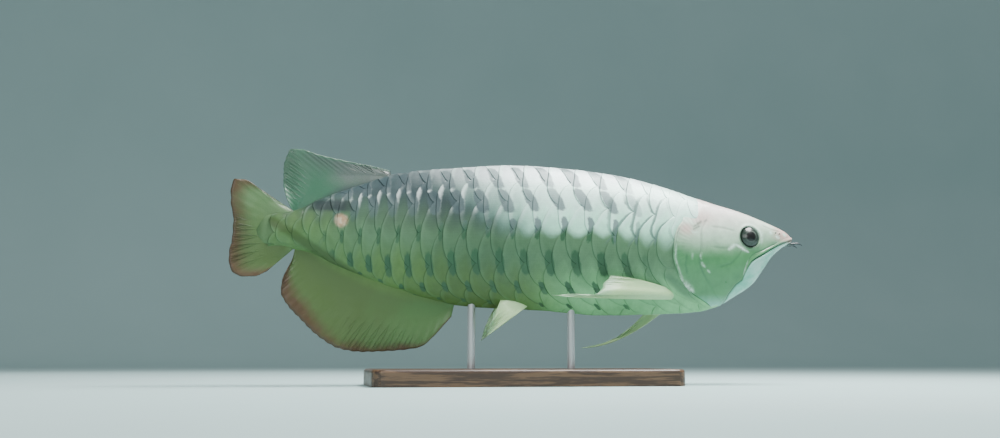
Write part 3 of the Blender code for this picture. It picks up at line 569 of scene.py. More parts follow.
class Tree:
    """A node tree that is filled a node at a time."""

    def __init__(self, tree):
        self.tree = tree

    def feed(self, socket, value):
        """Link a wire into an input, or set the input to a plain value."""
        if isinstance(value, Wire):
            self.tree.links.new(value.socket, socket)
        elif socket.type == "RGBA":
            socket.default_value = (*value[:3], 1)
        else:
            socket.default_value = value

    def add(self, kind, values=None, **settings):
        """Add a node with its settings and its inputs, and give its outputs."""
        node = self.tree.nodes.new(kind)
        for setting, value in settings.items():
            setattr(node, setting, value)
        for key, value in (values or {}).items():
            self.feed(node.inputs[key], value)
        return Sockets(self, node.outputs)

    def link(self, node, **values):
        """Feed inputs of a node that exists, with underscores for the spaces in their names."""
        for label, value in values.items():
            self.feed(node.inputs[label.replace("_", " ")], value)

    def group(self, name, **values):
        """A copy of a shared shader group."""
        return self.add("ShaderNodeGroup", values, node_tree=bpy.data.node_groups[name])

    def math(self, operation, first, second=0.5, third=0.5, clamp=False):
        """One step of arithmetic."""
        values = {0: first, 1: second, 2: third}
        return self.add("ShaderNodeMath", values, operation=operation, use_clamp=clamp)[0]

    def mix(self, share, first, second, blend="MIX"):
        """A mix of two colours."""
        values = {0: share, 6: first, 7: second}
        return self.add("ShaderNodeMix", values, data_type="RGBA", blend_type=blend)[2]

    def scaled(self, vector, share):
        """A vector or colour times a number."""
        return self.add("ShaderNodeVectorMath", {0: vector, 3: share}, operation="SCALE")[0]

    def field(self, name, kind="Vector"):
        """A named field of the mesh."""
        return self.add("ShaderNodeAttribute", attribute_name=name)[kind]

    def split(self, vector):
        """The three parts of a vector."""
        return self.add("ShaderNodeSeparateXYZ", {0: vector})

    def join(self, *parts):
        """A vector of up to three parts."""
        return self.add("ShaderNodeCombineXYZ", dict(enumerate(parts)))[0]

    def noise(self, vector, scale, detail=3.0, roughness=0.5):
        """Soft noise between 0 and 1."""
        values = {"Vector": vector, "Scale": scale, "Detail": detail, "Roughness": roughness}
        return self.add("ShaderNodeTexNoise", values)[0]

    def stretched_noise(self, scale, *settings):
        """Noise on the object's own places, stretched along its axes."""
        place = self.add("ShaderNodeTexCoord")["Object"]
        spot = self.add("ShaderNodeMapping", {"Vector": place, "Scale": scale})[0]
        return self.noise(spot, *settings)

    def relief(self, height, strength, distance):
        """A normal from a height."""
        values = {"Height": height, "Strength": strength, "Distance": distance}
        return self.add("ShaderNodeBump", values)[0]


def new_group(name, kind, inputs, outputs):
    """A node group with inputs (name, type, default) and outputs (name, type)."""
    group = bpy.data.node_groups.new(name, kind)
    for label, word, default in inputs:
        socket = group.interface.new_socket(name=label, in_out="INPUT", socket_type=SOCKETS[word])
        if word == "colour":
            default = (*default, 1)
        if default is not None:
            socket.default_value = default
    for label, word in outputs:
        group.interface.new_socket(name=label, in_out="OUTPUT", socket_type=SOCKETS[word])
    tree = Tree(group)
    return tree, tree.add("NodeGroupInput"), group.nodes.new("NodeGroupOutput")


def apply_group(obj, name, values):
    """Put a geometry group on an object with its inputs set by their names."""
    group = bpy.data.node_groups[name]
    modifier = obj.modifiers.new(name, "NODES")
    modifier.node_group = group
    for item in group.interface.items_tree:
        if item.in_out == "INPUT" and item.name in values:
            modifier[item.identifier] = values[item.name]


def new_material(name, **constants):
    """A material with its shader, on whose sockets the constants are set."""
    material = bpy.data.materials.new(name)
    material.use_nodes = True
    shader = material.node_tree.nodes["Principled BSDF"]
    for label, value in constants.items():
        shader.inputs[label.replace("_", " ")].default_value = value
    return material, Tree(material.node_tree), shader


# Shared effects

def markings_group(colours):
    """The fish's colours and zones, shared by the skin, the scales and the fin roots."""
    tree, start, end = new_group(
        "fish_markings", "ShaderNodeTree",
        [("Place", "vector", None), ("Silver", "colour", colours.silver),
         ("Green", "colour", colours.flank_green), ("Olive", "colour", colours.belly_olive),
         ("Chest", "colour", colours.chest), ("Slate", "colour", colours.rear_slate)],
        [("Colour", "colour"), ("Light", "number"), ("Rear", "number"), ("Height", "number")],
    )
    place = start["Place"]
    x, _, z = tree.split(place)
    wander = tree.noise(place, 24.0, 4.0, 0.6)
    wander += tree.noise(place, 75.0) * 0.45
    edge = wander * 0.012 - 0.0087
    # The pale back is partly painted top light and the green flank partly painted shade
    # The border between the pale back and the green flank rises and widens along the fish
    rise = x.ease(0.0, -0.13, 0.0, 0.022) + x.ease(0.09, 0.2, 0.0, -0.009)
    rise += x.ease(0.208, 0.248, 0.0, 0.009)
    height = z - rise + edge
    spread = x.ease(0.03, -0.09, 0.0, 0.014) + x.ease(0.08, 0.15, 0.0, 0.009)
    light = height.ease(-0.005 - spread, spread + 0.007)
    rear = (x + (z * 1.3 - 0.055) + edge * 2.5).ease(0.005, -0.1)
    low = height.ease(-0.022, -0.062)
    ahead = x.ease(-0.01, 0.07)
    flank_tone = tree.mix(low, start["Green"], tree.mix(ahead, start["Olive"], start["Chest"]))
    flank_tone = tree.mix(x.ease(-0.15, -0.215) * 0.7, flank_tone, start["Olive"])
    silver = tree.mix(z.ease(0.044, 0.064) * 0.6, start["Silver"], colours.lilac)
    silver = tree.mix(height.ease(0.04, 0.006) * 0.9, silver, BORDER_TINGE, "MULTIPLY")
    back = tree.mix(rear, silver, start["Slate"])
    tone = tree.mix(light, flank_tone, back)
    value = tree.noise(place, 120.0, 5.0, 0.65).ease(0.2, 0.8, 0.86, 1.1)
    value *= x.ease(-0.08, -0.17, 1.0, 1.05)
    for deep, less in ((x.ease(-0.125, -0.07) * x.ease(0.03, -0.035), -0.22),
                       (x.ease(-0.03, -0.085) * z.ease(-0.006, 0.014), -0.28)):
        value *= deep * less + 1.0
    tree.link(end, Colour=tree.scaled(tone, value), Light=light, Rear=rear, Height=height)


def grain_group():
    """Fine wet pores and wrinkles, as a height and a roughness that wavers."""
    tree, start, end = new_group(
        "skin_grain", "ShaderNodeTree",
        [("Place", "vector", None), ("Scale", "number", 900.0), ("Roughness", "number", 0.35)],
        [("Height", "number"), ("Roughness", "number")],
    )
    fine = tree.noise(start["Place"], start["Scale"], 4.0, 0.6)
    pores = tree.add("ShaderNodeTexVoronoi", {"Vector": start["Place"], "Scale": start["Scale"]},
                     feature="SMOOTH_F1")["Distance"]
    broad = tree.noise(start["Place"], 60.0, 4.0, 0.6)
    tree.link(end, Height=fine + pores * 0.6,
              Roughness=start["Roughness"] + broad.ease(0.2, 0.8, -0.08, 0.12))


def scale_edges_group():
    """Distances on a scale from its rear rim and from the scales in front, in columns."""
    tree, start, end = new_group(
        "scale_edges", "ShaderNodeTree",
        [("Local", "vector", None), ("Ragged", "number", 0.0)],
        [("Rim", "number"), ("Cover", "number"), ("Side", "number")],
    )
    column, row, _ = tree.split(start["Local"])
    side = tree.math("MINIMUM", abs(row), 1.0)

    def sag_of(across):
        """How far the rim lies before the tip at a share of the half width."""
        return (1.0 - across ** EDGE_CURVE[0]) ** EDGE_CURVE[1] * -0.5 + 0.5

    rim = column * -1.0 - sag_of(side)
    cover = column + 0.5 + sag_of(1.0 - side)
    tree.link(end, Rim=rim + start["Ragged"], Cover=cover + start["Ragged"], Side=side)


def scale_marks_group():
    """Upright marks on the tips of the lattice of scales, of a size for every row."""
    tree, start, end = new_group(
        "scale_marks", "ShaderNodeTree",
        [("Lattice", "vector", None), ("Upwards", "number", 1.0), ("Wide", "number", 0.15),
         ("Tall", "number", 0.36), ("Slant", "number", 0.0), ("Raised", "number", 0.0),
         ("Ragged", "number", 0.0)],
        [("Mark", "number")],
    )
    column, row, _ = tree.split(start["Lattice"])
    row -= start["Upwards"] * start["Raised"]
    whole = tree.math("ROUND", row)
    off_row = row - whole
    odd = tree.math("PINGPONG", whole, 1.0) * 0.5
    moved = column - odd - 0.08
    off_column = moved - tree.math("ROUND", moved)
    off_column -= off_row * start["Upwards"] * start["Slant"]
    from_belly = abs(whole - HALF_ROWS)
    size = 1.0
    for row_up, less in SMALLER_MARKS:
        size -= tree.math("COMPARE", from_belly, float(row_up), 0.4) * less
    size = tree.math("MAXIMUM", size, 0.02)
    across = abs(off_column) / start["Wide"] + start["Ragged"]
    upright = abs(off_row) / start["Tall"] + start["Ragged"]
    away = (across + upright) * 0.25 + tree.math("MAXIMUM", across, upright) * 0.6
    tree.link(end, Mark=(away / size).ease(1.08, 0.78))


# Materials

def skin_material(colours):
    """Wet, silvery skin of head and body with the shared markings."""
    material, tree, shader = new_material(
        "fish_skin", Coat_Roughness=0.12, IOR=1.40,
        Subsurface_Weight=0.05, Subsurface_Radius=(0.003, 0.002, 0.0015),
    )
    place = tree.field("place")
    on_head = tree.field("head", "Fac")
    # On the head too the pale top is partly painted top light and the green partly painted shade
    tones = {label: tree.mix(on_head, on_body, colours.cheek_green)
             for label, on_body in (("Green", colours.flank_green), ("Olive", colours.belly_olive),
                                    ("Chest", colours.chest))}
    silver = tree.mix(on_head, colours.silver, colours.head_cream)
    colour = tree.group("fish_markings", Place=place, Silver=silver, **tones)["Colour"]
    x = tree.split(place)[0]
    clouds = tree.noise(place, 55.0, 5.0, 0.65).ease(0.32, 0.66)
    pale_jaw = tree.mix(clouds, colours.throat, colours.jaw_pale)
    pale_jaw = tree.mix(clouds * x.ease(0.215, 0.275, 0.25, 1.0), pale_jaw, colours.jaw_front)
    colour = tree.mix(tree.field("jaw", "Fac"), colour, pale_jaw)
    colour = tree.mix(tree.field("blush", "Fac") * 0.75, colour, colours.blush)
    # Painted shade in the head's folds, grooves and pits
    colour = tree.mix(tree.field("crease_shade", "Fac"), colour, colours.crease_shade)
    # Behind the scales the skin takes the tail fin's colour and is less wet
    tail_end = x.ease(-0.236, -0.246)
    colour = tree.mix(tail_end, colour, colours.caudal)
    # Painted highlights on the head's plates and edges, broken up by noise
    patchy = tree.noise(place, 330.0, 4.0, 0.6).ease(0.34, 0.6, 0.4, 0.95)
    painted_highlight = tree.math("MULTIPLY", tree.field("painted_highlight", "Fac"), patchy, clamp=True)
    colour = tree.mix(painted_highlight, colour, colours.painted_highlight)
    grain = tree.group("skin_grain", Place=place, Scale=1100.0, Roughness=0.34)
    height = grain["Height"] * 0.25 + tree.field("bone", "Fac")
    tree.link(shader, Base_Color=colour, Roughness=tail_end * 0.28 + grain["Roughness"],
              Coat_Weight=tail_end * -0.33 + 0.35, Normal=tree.relief(height, 0.55, 0.0006))
    return material


def scale_material(colours):
    """Large silvery scales with pale rims, dark marks in front of them and growth rings."""
    material, tree, shader = new_material(
        "fish_scales", Coat_Weight=0.10, Coat_Roughness=0.18, IOR=1.36,
    )
    place = tree.field("place")
    ragged = tree.noise(place, 170.0, 4.0, 0.65) * 0.2 - 0.1
    edges = tree.group("scale_edges", Local=tree.field("scale"), Ragged=ragged)
    rim, cover, side = edges
    x, y, z = tree.split(place)
    # The border of the partly painted top light and the green hangs in a small arc under every
    # scale
    along_body, row, _ = tree.split(tree.field("lattice"))
    arc = abs(tree.math("COSINE", along_body * pi)) * 0.007 - 0.0042
    tone, light, rear, height = tree.group("fish_markings", Place=tree.join(x, y, z + arc))
    rear_light = rear * light
    # Pale rims, strongest on the rear back
    band = rim.ease(rear_light * 0.08 + 0.22, 0.09)
    share = height.ease(-0.016, 0.016, 0.16, 0.5)
    row = abs(row - HALF_ROWS)
    upper = z.ease(0.014, 0.03) * row.ease(6.3, 5.7) * 1.1 - 0.42
    share = tree.math("MULTIPLY_ADD", rear_light, upper, share, clamp=True)
    rim_colour = tree.mix(light, colours.rim_green, tree.mix(rear, colours.silver, colours.rim))
    colour = tree.mix(band * share, tone, rim_colour)
    # Dark marks on the tips of the lattice, tall and narrow on the flank
    lit = light * (1.0 - rear)
    right_side = tree.math("LESS_THAN", y, 0.0)
    mark = tree.group(
        "scale_marks", Lattice=tree.field("lattice"), Upwards=right_side * 2.0 - 1.0,
        Wide=rear_light * 0.12 + (lit * 0.04 + 0.17), Tall=light * 0.05 + 0.43,
        Slant=rear_light * 0.25 + lit * 0.55, Raised=light * x.ease(-0.03, 0.07, 0.03, 0.3),
        Ragged=tree.noise(place, 260.0, 4.0, 0.7) * 0.5 - 0.25,
    )["Mark"]
    mark *= tree.noise(place, 34.0).ease(0.3, 0.52, 0.8, 1.0)
    mark *= x.ease(0.15, 0.085) * x.ease(-0.215, -0.17)
    mark_colour = tree.mix(light, colours.dash_green, colours.crescent)
    mark_colour = tree.mix(rear_light, mark_colour, colours.slate_core)
    colour = tree.mix(mark * 0.95, colour, mark_colour)
    # Dark lines round the scales behind the head
    net = cover.ease(0.17, 0.07) * cover.ease(-0.12, -0.05)
    net *= x.ease(0.065, 0.095) * x.ease(0.15, 0.142)
    net *= z.ease(0.045, 0.03)
    net *= z.ease(-0.016, -0.004)
    colour = tree.mix(net * 0.8, colour, colours.net)
    # Painted shade in slate under the dorsal fin, and olive shade over the anal fin
    blur = ragged * 0.02
    shade = abs(z - 0.0245 + blur).ease(0.0085, 0.003)
    shade *= x.ease(-0.216, -0.2) * x.ease(-0.158, -0.178)
    colour = tree.mix(shade * 0.9, colour, colours.slate_fin_shade)
    line = x * -0.62 - 0.143
    shade = abs(z - line + blur).ease(0.0075, 0.002) * x.ease(-0.14, -0.165)
    colour = tree.mix(shade * 0.85, colour, colours.olive_dark)
    # Scar of a lost scale on the right side
    away = tree.math("SQRT", (x - SCAR[0]) ** 2.0 + (z - SCAR[1]) ** 2.0) + ragged * 0.025
    scar = away.ease(0.0085, 0.003) * right_side
    scar_tone = tree.noise(place, 240.0).ease(0.35, 0.65)
    colour = tree.mix(scar * 0.85, colour, tree.mix(scar_tone, colours.scar, colours.scar_pale))
    # Shade behind the lower end of the gill cover
    shade = abs(x - (z * -1.3 + 0.0925)).ease(0.011, 0.002)
    shade *= z.ease(-0.066, -0.056) * z.ease(-0.034, -0.044)
    colour = tree.mix(shade * 0.45, colour, colours.crease_shade)
    colour = tree.scaled(colour, tree.field("chance", "Fac") * 0.12 + 0.94)
    # Growth rings along the rim and fine lines towards it
    rings = (rim * 110.0 + ragged * 30.0).sine() * 0.09 + (side * 70.0).sine() * 0.06
    rings += tree.noise(place, 700.0, 4.0, 0.6) * 0.45
    grain = tree.group("skin_grain", Place=place, Scale=500.0, Roughness=0.36)
    tree.link(shader, Base_Color=colour, Roughness=grain["Roughness"], Metallic=lit * 0.1,
              Normal=tree.relief(rings, 0.45, 0.0004))
    return material


def fin_material(name, web, margin, margin_share, streaky, clear, root_fade):
    """Fin web with fine streaks along the rays and a coloured margin.

    web holds the colours of its front, its rear and its light and dark streaks. Below the
    share root_fade the web takes the body's colour, and clear is its alpha at the margin.
    """
    material, tree, shader = new_material(
        name, Coat_Weight=0.25, Coat_Roughness=0.2, IOR=1.4,
        Subsurface_Weight=0.15, Subsurface_Radius=(0.003, 0.003, 0.0015),
    )
    place = tree.field("place")
    ray, share, edge = tree.split(tree.field("fin"))
    streak = tree.noise(tree.join(ray * 9.0, share * 5.0), 1.6, 5.0, 0.7)
    blotch = tree.noise(place, 45.0, 4.0, 0.6)
    base = tree.mix((blotch * 8.0 + (ray - 4.0)).ease(3.0, 12.0), web[0], web[1])
    body = tree.group("fish_markings", Place=place)["Colour"]
    base = tree.mix(share.ease(root_fade, root_fade * 0.2), base, body)
    rim = edge + (blotch * 0.3 - 0.15) + ray.ease(9.0, 22.0, -0.03, 0.1)
    colour = tree.mix(rim.ease(margin_share, 0.99), base, margin)
    light_streak = streak.ease(0.55, 0.72) * share.ease(0.45, 0.85)
    colour = tree.mix(light_streak * streaky, colour, web[2])
    colour = tree.mix(streak.ease(0.48, 0.3) * streaky, colour, web[3])
    segments = (share * 170.0).sine()
    grain = tree.group("skin_grain", Place=place, Scale=700.0, Roughness=0.38)
    tree.link(shader, Base_Color=colour, Roughness=grain["Roughness"],
              Normal=tree.relief(segments * 0.06 + streak, 0.22, 0.0005),
              Alpha=share.ease(0.25, 1.0, 1.0, clear))
    return material


def eye_material(colours):
    """Black pupil in a dark green iris with a thin silver ring, under a wet cornea."""
    material, tree, shader = new_material(
        "fish_eye", Roughness=0.30, Coat_Weight=0.55, Coat_Roughness=0.06, IOR=1.38,
    )
    u, v, r = tree.split(tree.field("eye"))
    flecks = tree.noise(tree.field("place"), 700.0, 5.0, 0.7)
    rays = tree.noise(tree.join(tree.math("ARCTAN2", v, u) * 6.0, r), 3.0, 4.0, 0.7)
    iris = tree.mix(flecks.ease(0.3, 0.7), colours.iris_dark, colours.iris)
    iris = tree.mix(rays.ease(0.45, 0.75) * 0.5, iris, colours.iris_pale)
    rim = r + (flecks * 0.1 - 0.05)
    colour = tree.mix(rim.ease(0.8, 0.96), iris, colours.iris_dark)
    upper = (v + u * 0.5).ease(0.2, 0.9)
    ring = rim.ease(0.46, 0.52) * rim.ease(0.62, 0.56)
    ring *= upper * 0.16 + 0.04
    colour = tree.mix(ring, colour, colours.eye_ring)
    colour = tree.mix(r.ease(0.47, 0.42), colour, colours.pupil)
    tree.link(shader, Base_Color=colour)
    return material


def barbel_material(colours):
    """Dark, wet feelers that pale towards their roots."""
    material, tree, shader = new_material("fish_barbel", Coat_Weight=0.3, Coat_Roughness=0.2)
    place = tree.field("place")
    x = tree.split(place)[0]
    colour = tree.mix(x.ease(0.284, 0.29), colours.barbel_root, colours.barbel)
    grain = tree.group("skin_grain", Place=place, Scale=1500.0, Roughness=0.35)
    tree.link(shader, Base_Color=colour, Roughness=grain["Roughness"],
              Normal=tree.relief(grain["Height"], 0.3, 0.0003))
    return material


def wood_material(colours):
    """Dark oiled wood with its grain along X."""
    material, tree, shader = new_material("oiled_wood", Coat_Weight=0.15, Coat_Roughness=0.3)
    rings = tree.stretched_noise((1.6, 22.0, 22.0), 3.0, 6.0, 0.62)
    wave = (rings * 46.0).sine()
    pore = tree.stretched_noise((18.0, 900.0, 900.0), 1.0, 3.0, 0.6)
    colour = tree.mix(wave.ease(-1.0, 1.0), colours.wood_dark, colours.wood_light)
    colour = tree.mix(pore.ease(0.6, 0.72), colour, colours.wood_pore)
    tree.link(shader, Base_Color=colour, Roughness=rings.ease(0.2, 0.8, 0.36, 0.52),
              Normal=tree.relief(wave * 0.15 + pore * -0.8, 0.25, 0.0004))
    return material


def steel_material(colours):
    """Brushed steel with fine marks round each rod."""
    material, tree, shader = new_material("brushed_steel", Metallic=1.0)
    marks = tree.stretched_noise((60.0, 60.0, 4000.0), 1.0, 3.0, 0.7)
    colour = tree.mix(marks, colours.steel_dark, colours.steel)
    tree.link(shader, Base_Color=colour, Roughness=marks.ease(0.2, 0.8, 0.28, 0.34),
              Normal=tree.relief(marks, 0.05, 0.0001))
    return material


# Skin

def polyline_distance(x, z, line):
    """How far places on the side view are from a line, and their share along it."""
    best = np.full(x.shape, 1e3)
    share = np.zeros(x.shape)
    line = np.array(line, float)
    for n, ((ax, az), (bx, bz)) in enumerate(zip(line, line[1:])):
        dx, dz = bx - ax, bz - az
        t = np.clip(((x - ax) * dx + (z - az) * dz) / (dx * dx + dz * dz), 0.0, 1.0)
        away = np.hypot(x - ax - t * dx, z - az - t * dz)
        share = np.where(away < best, (n + t) / (len(line) - 1), share)
        best = np.minimum(best, away)
    return best, share


def skin_rings():
    """Starts, shifts along X and fixed heights over the body (or none), ring by ring."""
    trunk = np.linspace(SKIN_TAPER[1], GILL_REAR - 0.0015, TRUNK_RINGS)
    rear_head = np.arange(GILL_REAR + COVER_LIP, HEAD_MIDDLE, 0.00115)
    front_head = np.linspace(HEAD_MIDDLE, SNOUT_START, 128)
    snout = SNOUT_START + SNOUT_LENGTH * np.sin(np.linspace(0.12, 1.0, 9) * pi / 2)
    fold_starts = GILL_REAR + 0.0001 * np.arange(len(COVER_FOLD))
    starts = np.concatenate((trunk, fold_starts, rear_head, front_head, snout))
    shifts, lifts = np.zeros(len(starts)), np.full(len(starts), np.nan)
    shifts[FOLD], lifts[FOLD] = np.array(COVER_FOLD).T
    lifts[:TRUNK_RINGS] = UNDER_SCALES
    return starts, shifts, lifts


def cover_share(half_turn):
    """1 where the gill cover stands free of the body, 0 on the nape and under the throat."""
    return smooth(0.92, 1.42, half_turn) * (1 - smooth(2.85, 3.05, half_turn))


def head_relief(start, points, turn, from_mouth):
    """How far the head's forms stand over its plain surface, their painted shade and the jaw's
    mask.
    """
    x, y, z = np.moveaxis(points, -1, 0)
    step = start - GILL_REAR
    half_turn = np.minimum(turn, 2 * pi - turn)
    on_side = cover_share(half_turn)
    cover = COVER_RISE * (1 - smooth(0.0, COVER_REACH, step)) * on_side
    # On the nape the skin rises out of the scales' bed and folds over their front ends
    over_scales = smooth(0.013, 0.021, step)
    nape = 0.0009 * over_scales - 0.0004 - 0.0005 * smooth(0.024, 0.050, step)
    cover += nape * (1 - on_side)
    wobble = 0.0012 * np.sin(z * 160.0)
    cheek = smooth(0.0292, 0.0312, step + wobble) * (1 - smooth(0.04, 0.07, step))
    lift = cover + CHEEK_RISE * cheek * on_side
    # Painted shade along the foot of the cheek's step
    crease_shade = 0.34 * bump(step + wobble - 0.0290, 0.0009) * on_side * smooth(-0.052, -0.036, z)
    # Mouth, lips and the bone along the upper jaw
    mouth_share = smooth(0.2262, 0.2285, x)
    groove = bump(from_mouth, 0.00055) * mouth_share
    lift -= 0.0019 * groove
    taper = 0.45 + 0.55 * smooth(0.226, 0.245, x)
    for middle, width, height in LIPS:
        lift += height * bump(from_mouth - middle, width) * mouth_share * taper
    bone_edge = 0.0062 - 0.0028 * smooth(0.232, 0.262, x)
    jaw_bone = mouth_share * (1 - smooth(0.262, 0.272, x))
    lift -= 0.0005 * bump(from_mouth - bone_edge, 0.0007) * jaw_bone
    # Painted shade in the mouth's groove and along the edge of the jaw bone
    crease_shade = np.maximum(crease_shade, 0.9 * groove)
    crease_shade = np.maximum(crease_shade, 0.35 * bump(from_mouth - bone_edge, 0.0006) * jaw_bone)
    # Rear of the lower jaw, with painted shade in its groove
    away, _ = polyline_distance(x, z, JAW_REAR)
    behind_jaw = bump(away, 0.0008) * (1 - smooth(0.2262, 0.2275, x))
    lift -= 0.0010 * behind_jaw
    crease_shade = np.maximum(crease_shade, 0.6 * behind_jaw)
    # Eye: the skin dips under the ball and stands as a soft rim round it
    from_eye = np.hypot(x - EYE_CENTRE[0], z - EYE_CENTRE[2])
    lift -= 0.0032 * (1 - smooth(*EYE_HOLE, from_eye))
    lift += 0.0006 * bump(from_eye - EYE_RIM, 0.0015)
    # Painted shade in the socket round the eye
    from_shade = np.hypot(x - EYE_SHADE[0], (z - EYE_SHADE[1]) * 0.96)
    crease_shade = np.maximum(crease_shade, 0.85 * (1 - smooth(*EYE_SHADE_REACH, from_shade)))
    # Nostrils: a pit in a low rim, the front one on a short tube, and painted shade in the pit
    for place_x, place_z, radius, rim in NOSTRILS:
        away = np.hypot(x - place_x, z - place_z)
        lift += rim * bump(away - radius, 0.0006)
        lift -= 0.0013 * bump(away, radius * 0.62)
        crease_shade = np.maximum(crease_shade, 0.85 * bump(away, radius * 0.6))
    # Painted shade in the grooves between the head's plates
    for line, depth in PLATE_GROOVES:
        away, share = polyline_distance(x, z, line)
        ends = smooth(0.0, 0.12, share) * (1 - smooth(0.85, 1.0, share))
        line_share = bump(away, 0.0009) * ends
        lift -= depth * line_share
        crease_shade = np.maximum(crease_shade, 0.36 * line_share)
    # Shallow groove along the crest of the head
    crest = bump(y, 0.0035) * (half_turn < 1.0)
    lift -= 0.0007 * crest * smooth(0.17, 0.20, x) * (1 - smooth(0.272, 0.284, x))
    jaw = smooth(0.0, 0.0012, -from_mouth) * mouth_share
    jaw_rear = np.interp(z, *JAW_REAR_BY_HEIGHT)
    jaw = np.maximum(jaw, smooth(0.0, 0.002, x - jaw_rear) * (z < -0.040))
    jaw = np.maximum(jaw, 0.75 * smooth(-0.055, -0.068, z) * smooth(0.165, 0.180, x))
    return lift, crease_shade, jaw


def skin_turns(starts):
    """The turns of the skin's grid, one line of which runs along the mouth on each side."""
    upright = np.maximum(starts, MOUTH_LINE[0][0])
    top, bottom = back_at(upright), belly_at(upright)
    middle = bottom + WIDEST_SHARE * (top - bottom)
    drop = (mouth_line_at(upright) - middle) / (middle - bottom)
    mouth_turn = np.arccos(np.clip(drop, -0.9, 0.0))
    mouth_turn = (2.0 + (mouth_turn - 2.0) * smooth(0.16, 0.2265, starts))[:, None]
    a = np.linspace(0, 1, POINTS_OVER_MOUTH + 1)
    upper = 1 - (1 - a) * (0.5 + 0.5 * (1 - a) ** 2)
    b = np.linspace(0, 1, POINTS_UNDER_MOUTH + 1)[1:]
    lower = b * (0.55 + 0.45 * b ** 2)
    half = np.concatenate((mouth_turn * upper, mouth_turn + (pi - mouth_turn) * lower), axis=1)
    return np.concatenate((half, 2 * pi - half[:, -2:0:-1]), axis=1)


def mouth_distance(points):
    """How far the grid's points are over the mouth line (under it: less than nothing)."""
    rings, around, _ = points.shape
    steps = np.linalg.norm(np.diff(points, axis=1, append=points[:, :1]), axis=-1)
    length = np.concatenate((np.zeros((rings, 1)), np.cumsum(steps, axis=1)[:, :-1]), axis=1)
    left, right = (length[:, [line]] for line in (POINTS_OVER_MOUTH, around - POINTS_OVER_MOUTH))
    on_left = np.arange(around) <= POINTS_OVER_MOUTH + POINTS_UNDER_MOUTH
    return np.where(on_left, left - length, length - right)


def head_tints(starts, start, points, on_side):
    """The masks of painted highlights, pink skin and bone lines on the head."""
    x, _, z = np.moveaxis(points, -1, 0)
    # Painted highlight along the gill cover's rolled edge
    painted_highlight = 0.55 * bump(starts[:, None] - (GILL_REAR + COVER_LIP), 0.0013) * on_side
    painted_highlight *= smooth(-0.006, -0.014, z) * smooth(-0.052, -0.040, z)
    for line, width, strength in PAINTED_HIGHLIGHTS:
        away, share = polyline_distance(x, z, line)
        taper = 0.35 + 0.65 * np.sin(pi * share) ** 0.5
        painted_highlight = np.maximum(painted_highlight, strength * taper * bump(away, width * taper))
    # Painted highlight on the upper front of the eye socket's rim
    from_eye_x, from_eye_z = x - EYE_CENTRE[0], z - EYE_CENTRE[2]
    upper_front = smooth(0.0, 0.008, 0.6 * from_eye_x + 0.8 * from_eye_z)
    socket = bump(np.hypot(from_eye_x, from_eye_z) - EYE_HIGHLIGHT, 0.0016)
    painted_highlight = np.maximum(painted_highlight, 0.8 * socket * upper_front)
    painted_highlight *= starts[:, None] > GILL_REAR
    blush = smooth(0.256, 0.274, x) * smooth(-0.003, 0.003, z)
    blush = np.maximum(blush, 0.30 * smooth(0.018, 0.040, z) * smooth(0.16, 0.19, x))
    for (spot_x, spot_z), stretch, radius, strength in BLUSH_SPOTS:
        away = np.hypot((x - spot_x) * stretch, z - spot_z)
        blush = np.maximum(blush, strength * bump(away, radius))
    # Fine lines that fan out over the gill cover from one place
    from_x, from_z = x - BONE_CENTRE[0], z - BONE_CENTRE[1]
    bone = 0.25 * np.sin(np.arctan2(from_z, from_x) * 42.0)
    bone *= smooth(0.012, 0.030, np.hypot(from_x, from_z))
    bone *= 1 - smooth(0.028, 0.030, start - GILL_REAR)
    bone *= smooth(GILL_REAR - 0.001, GILL_REAR + 0.001, starts)[:, None]
    return painted_highlight, blush, bone


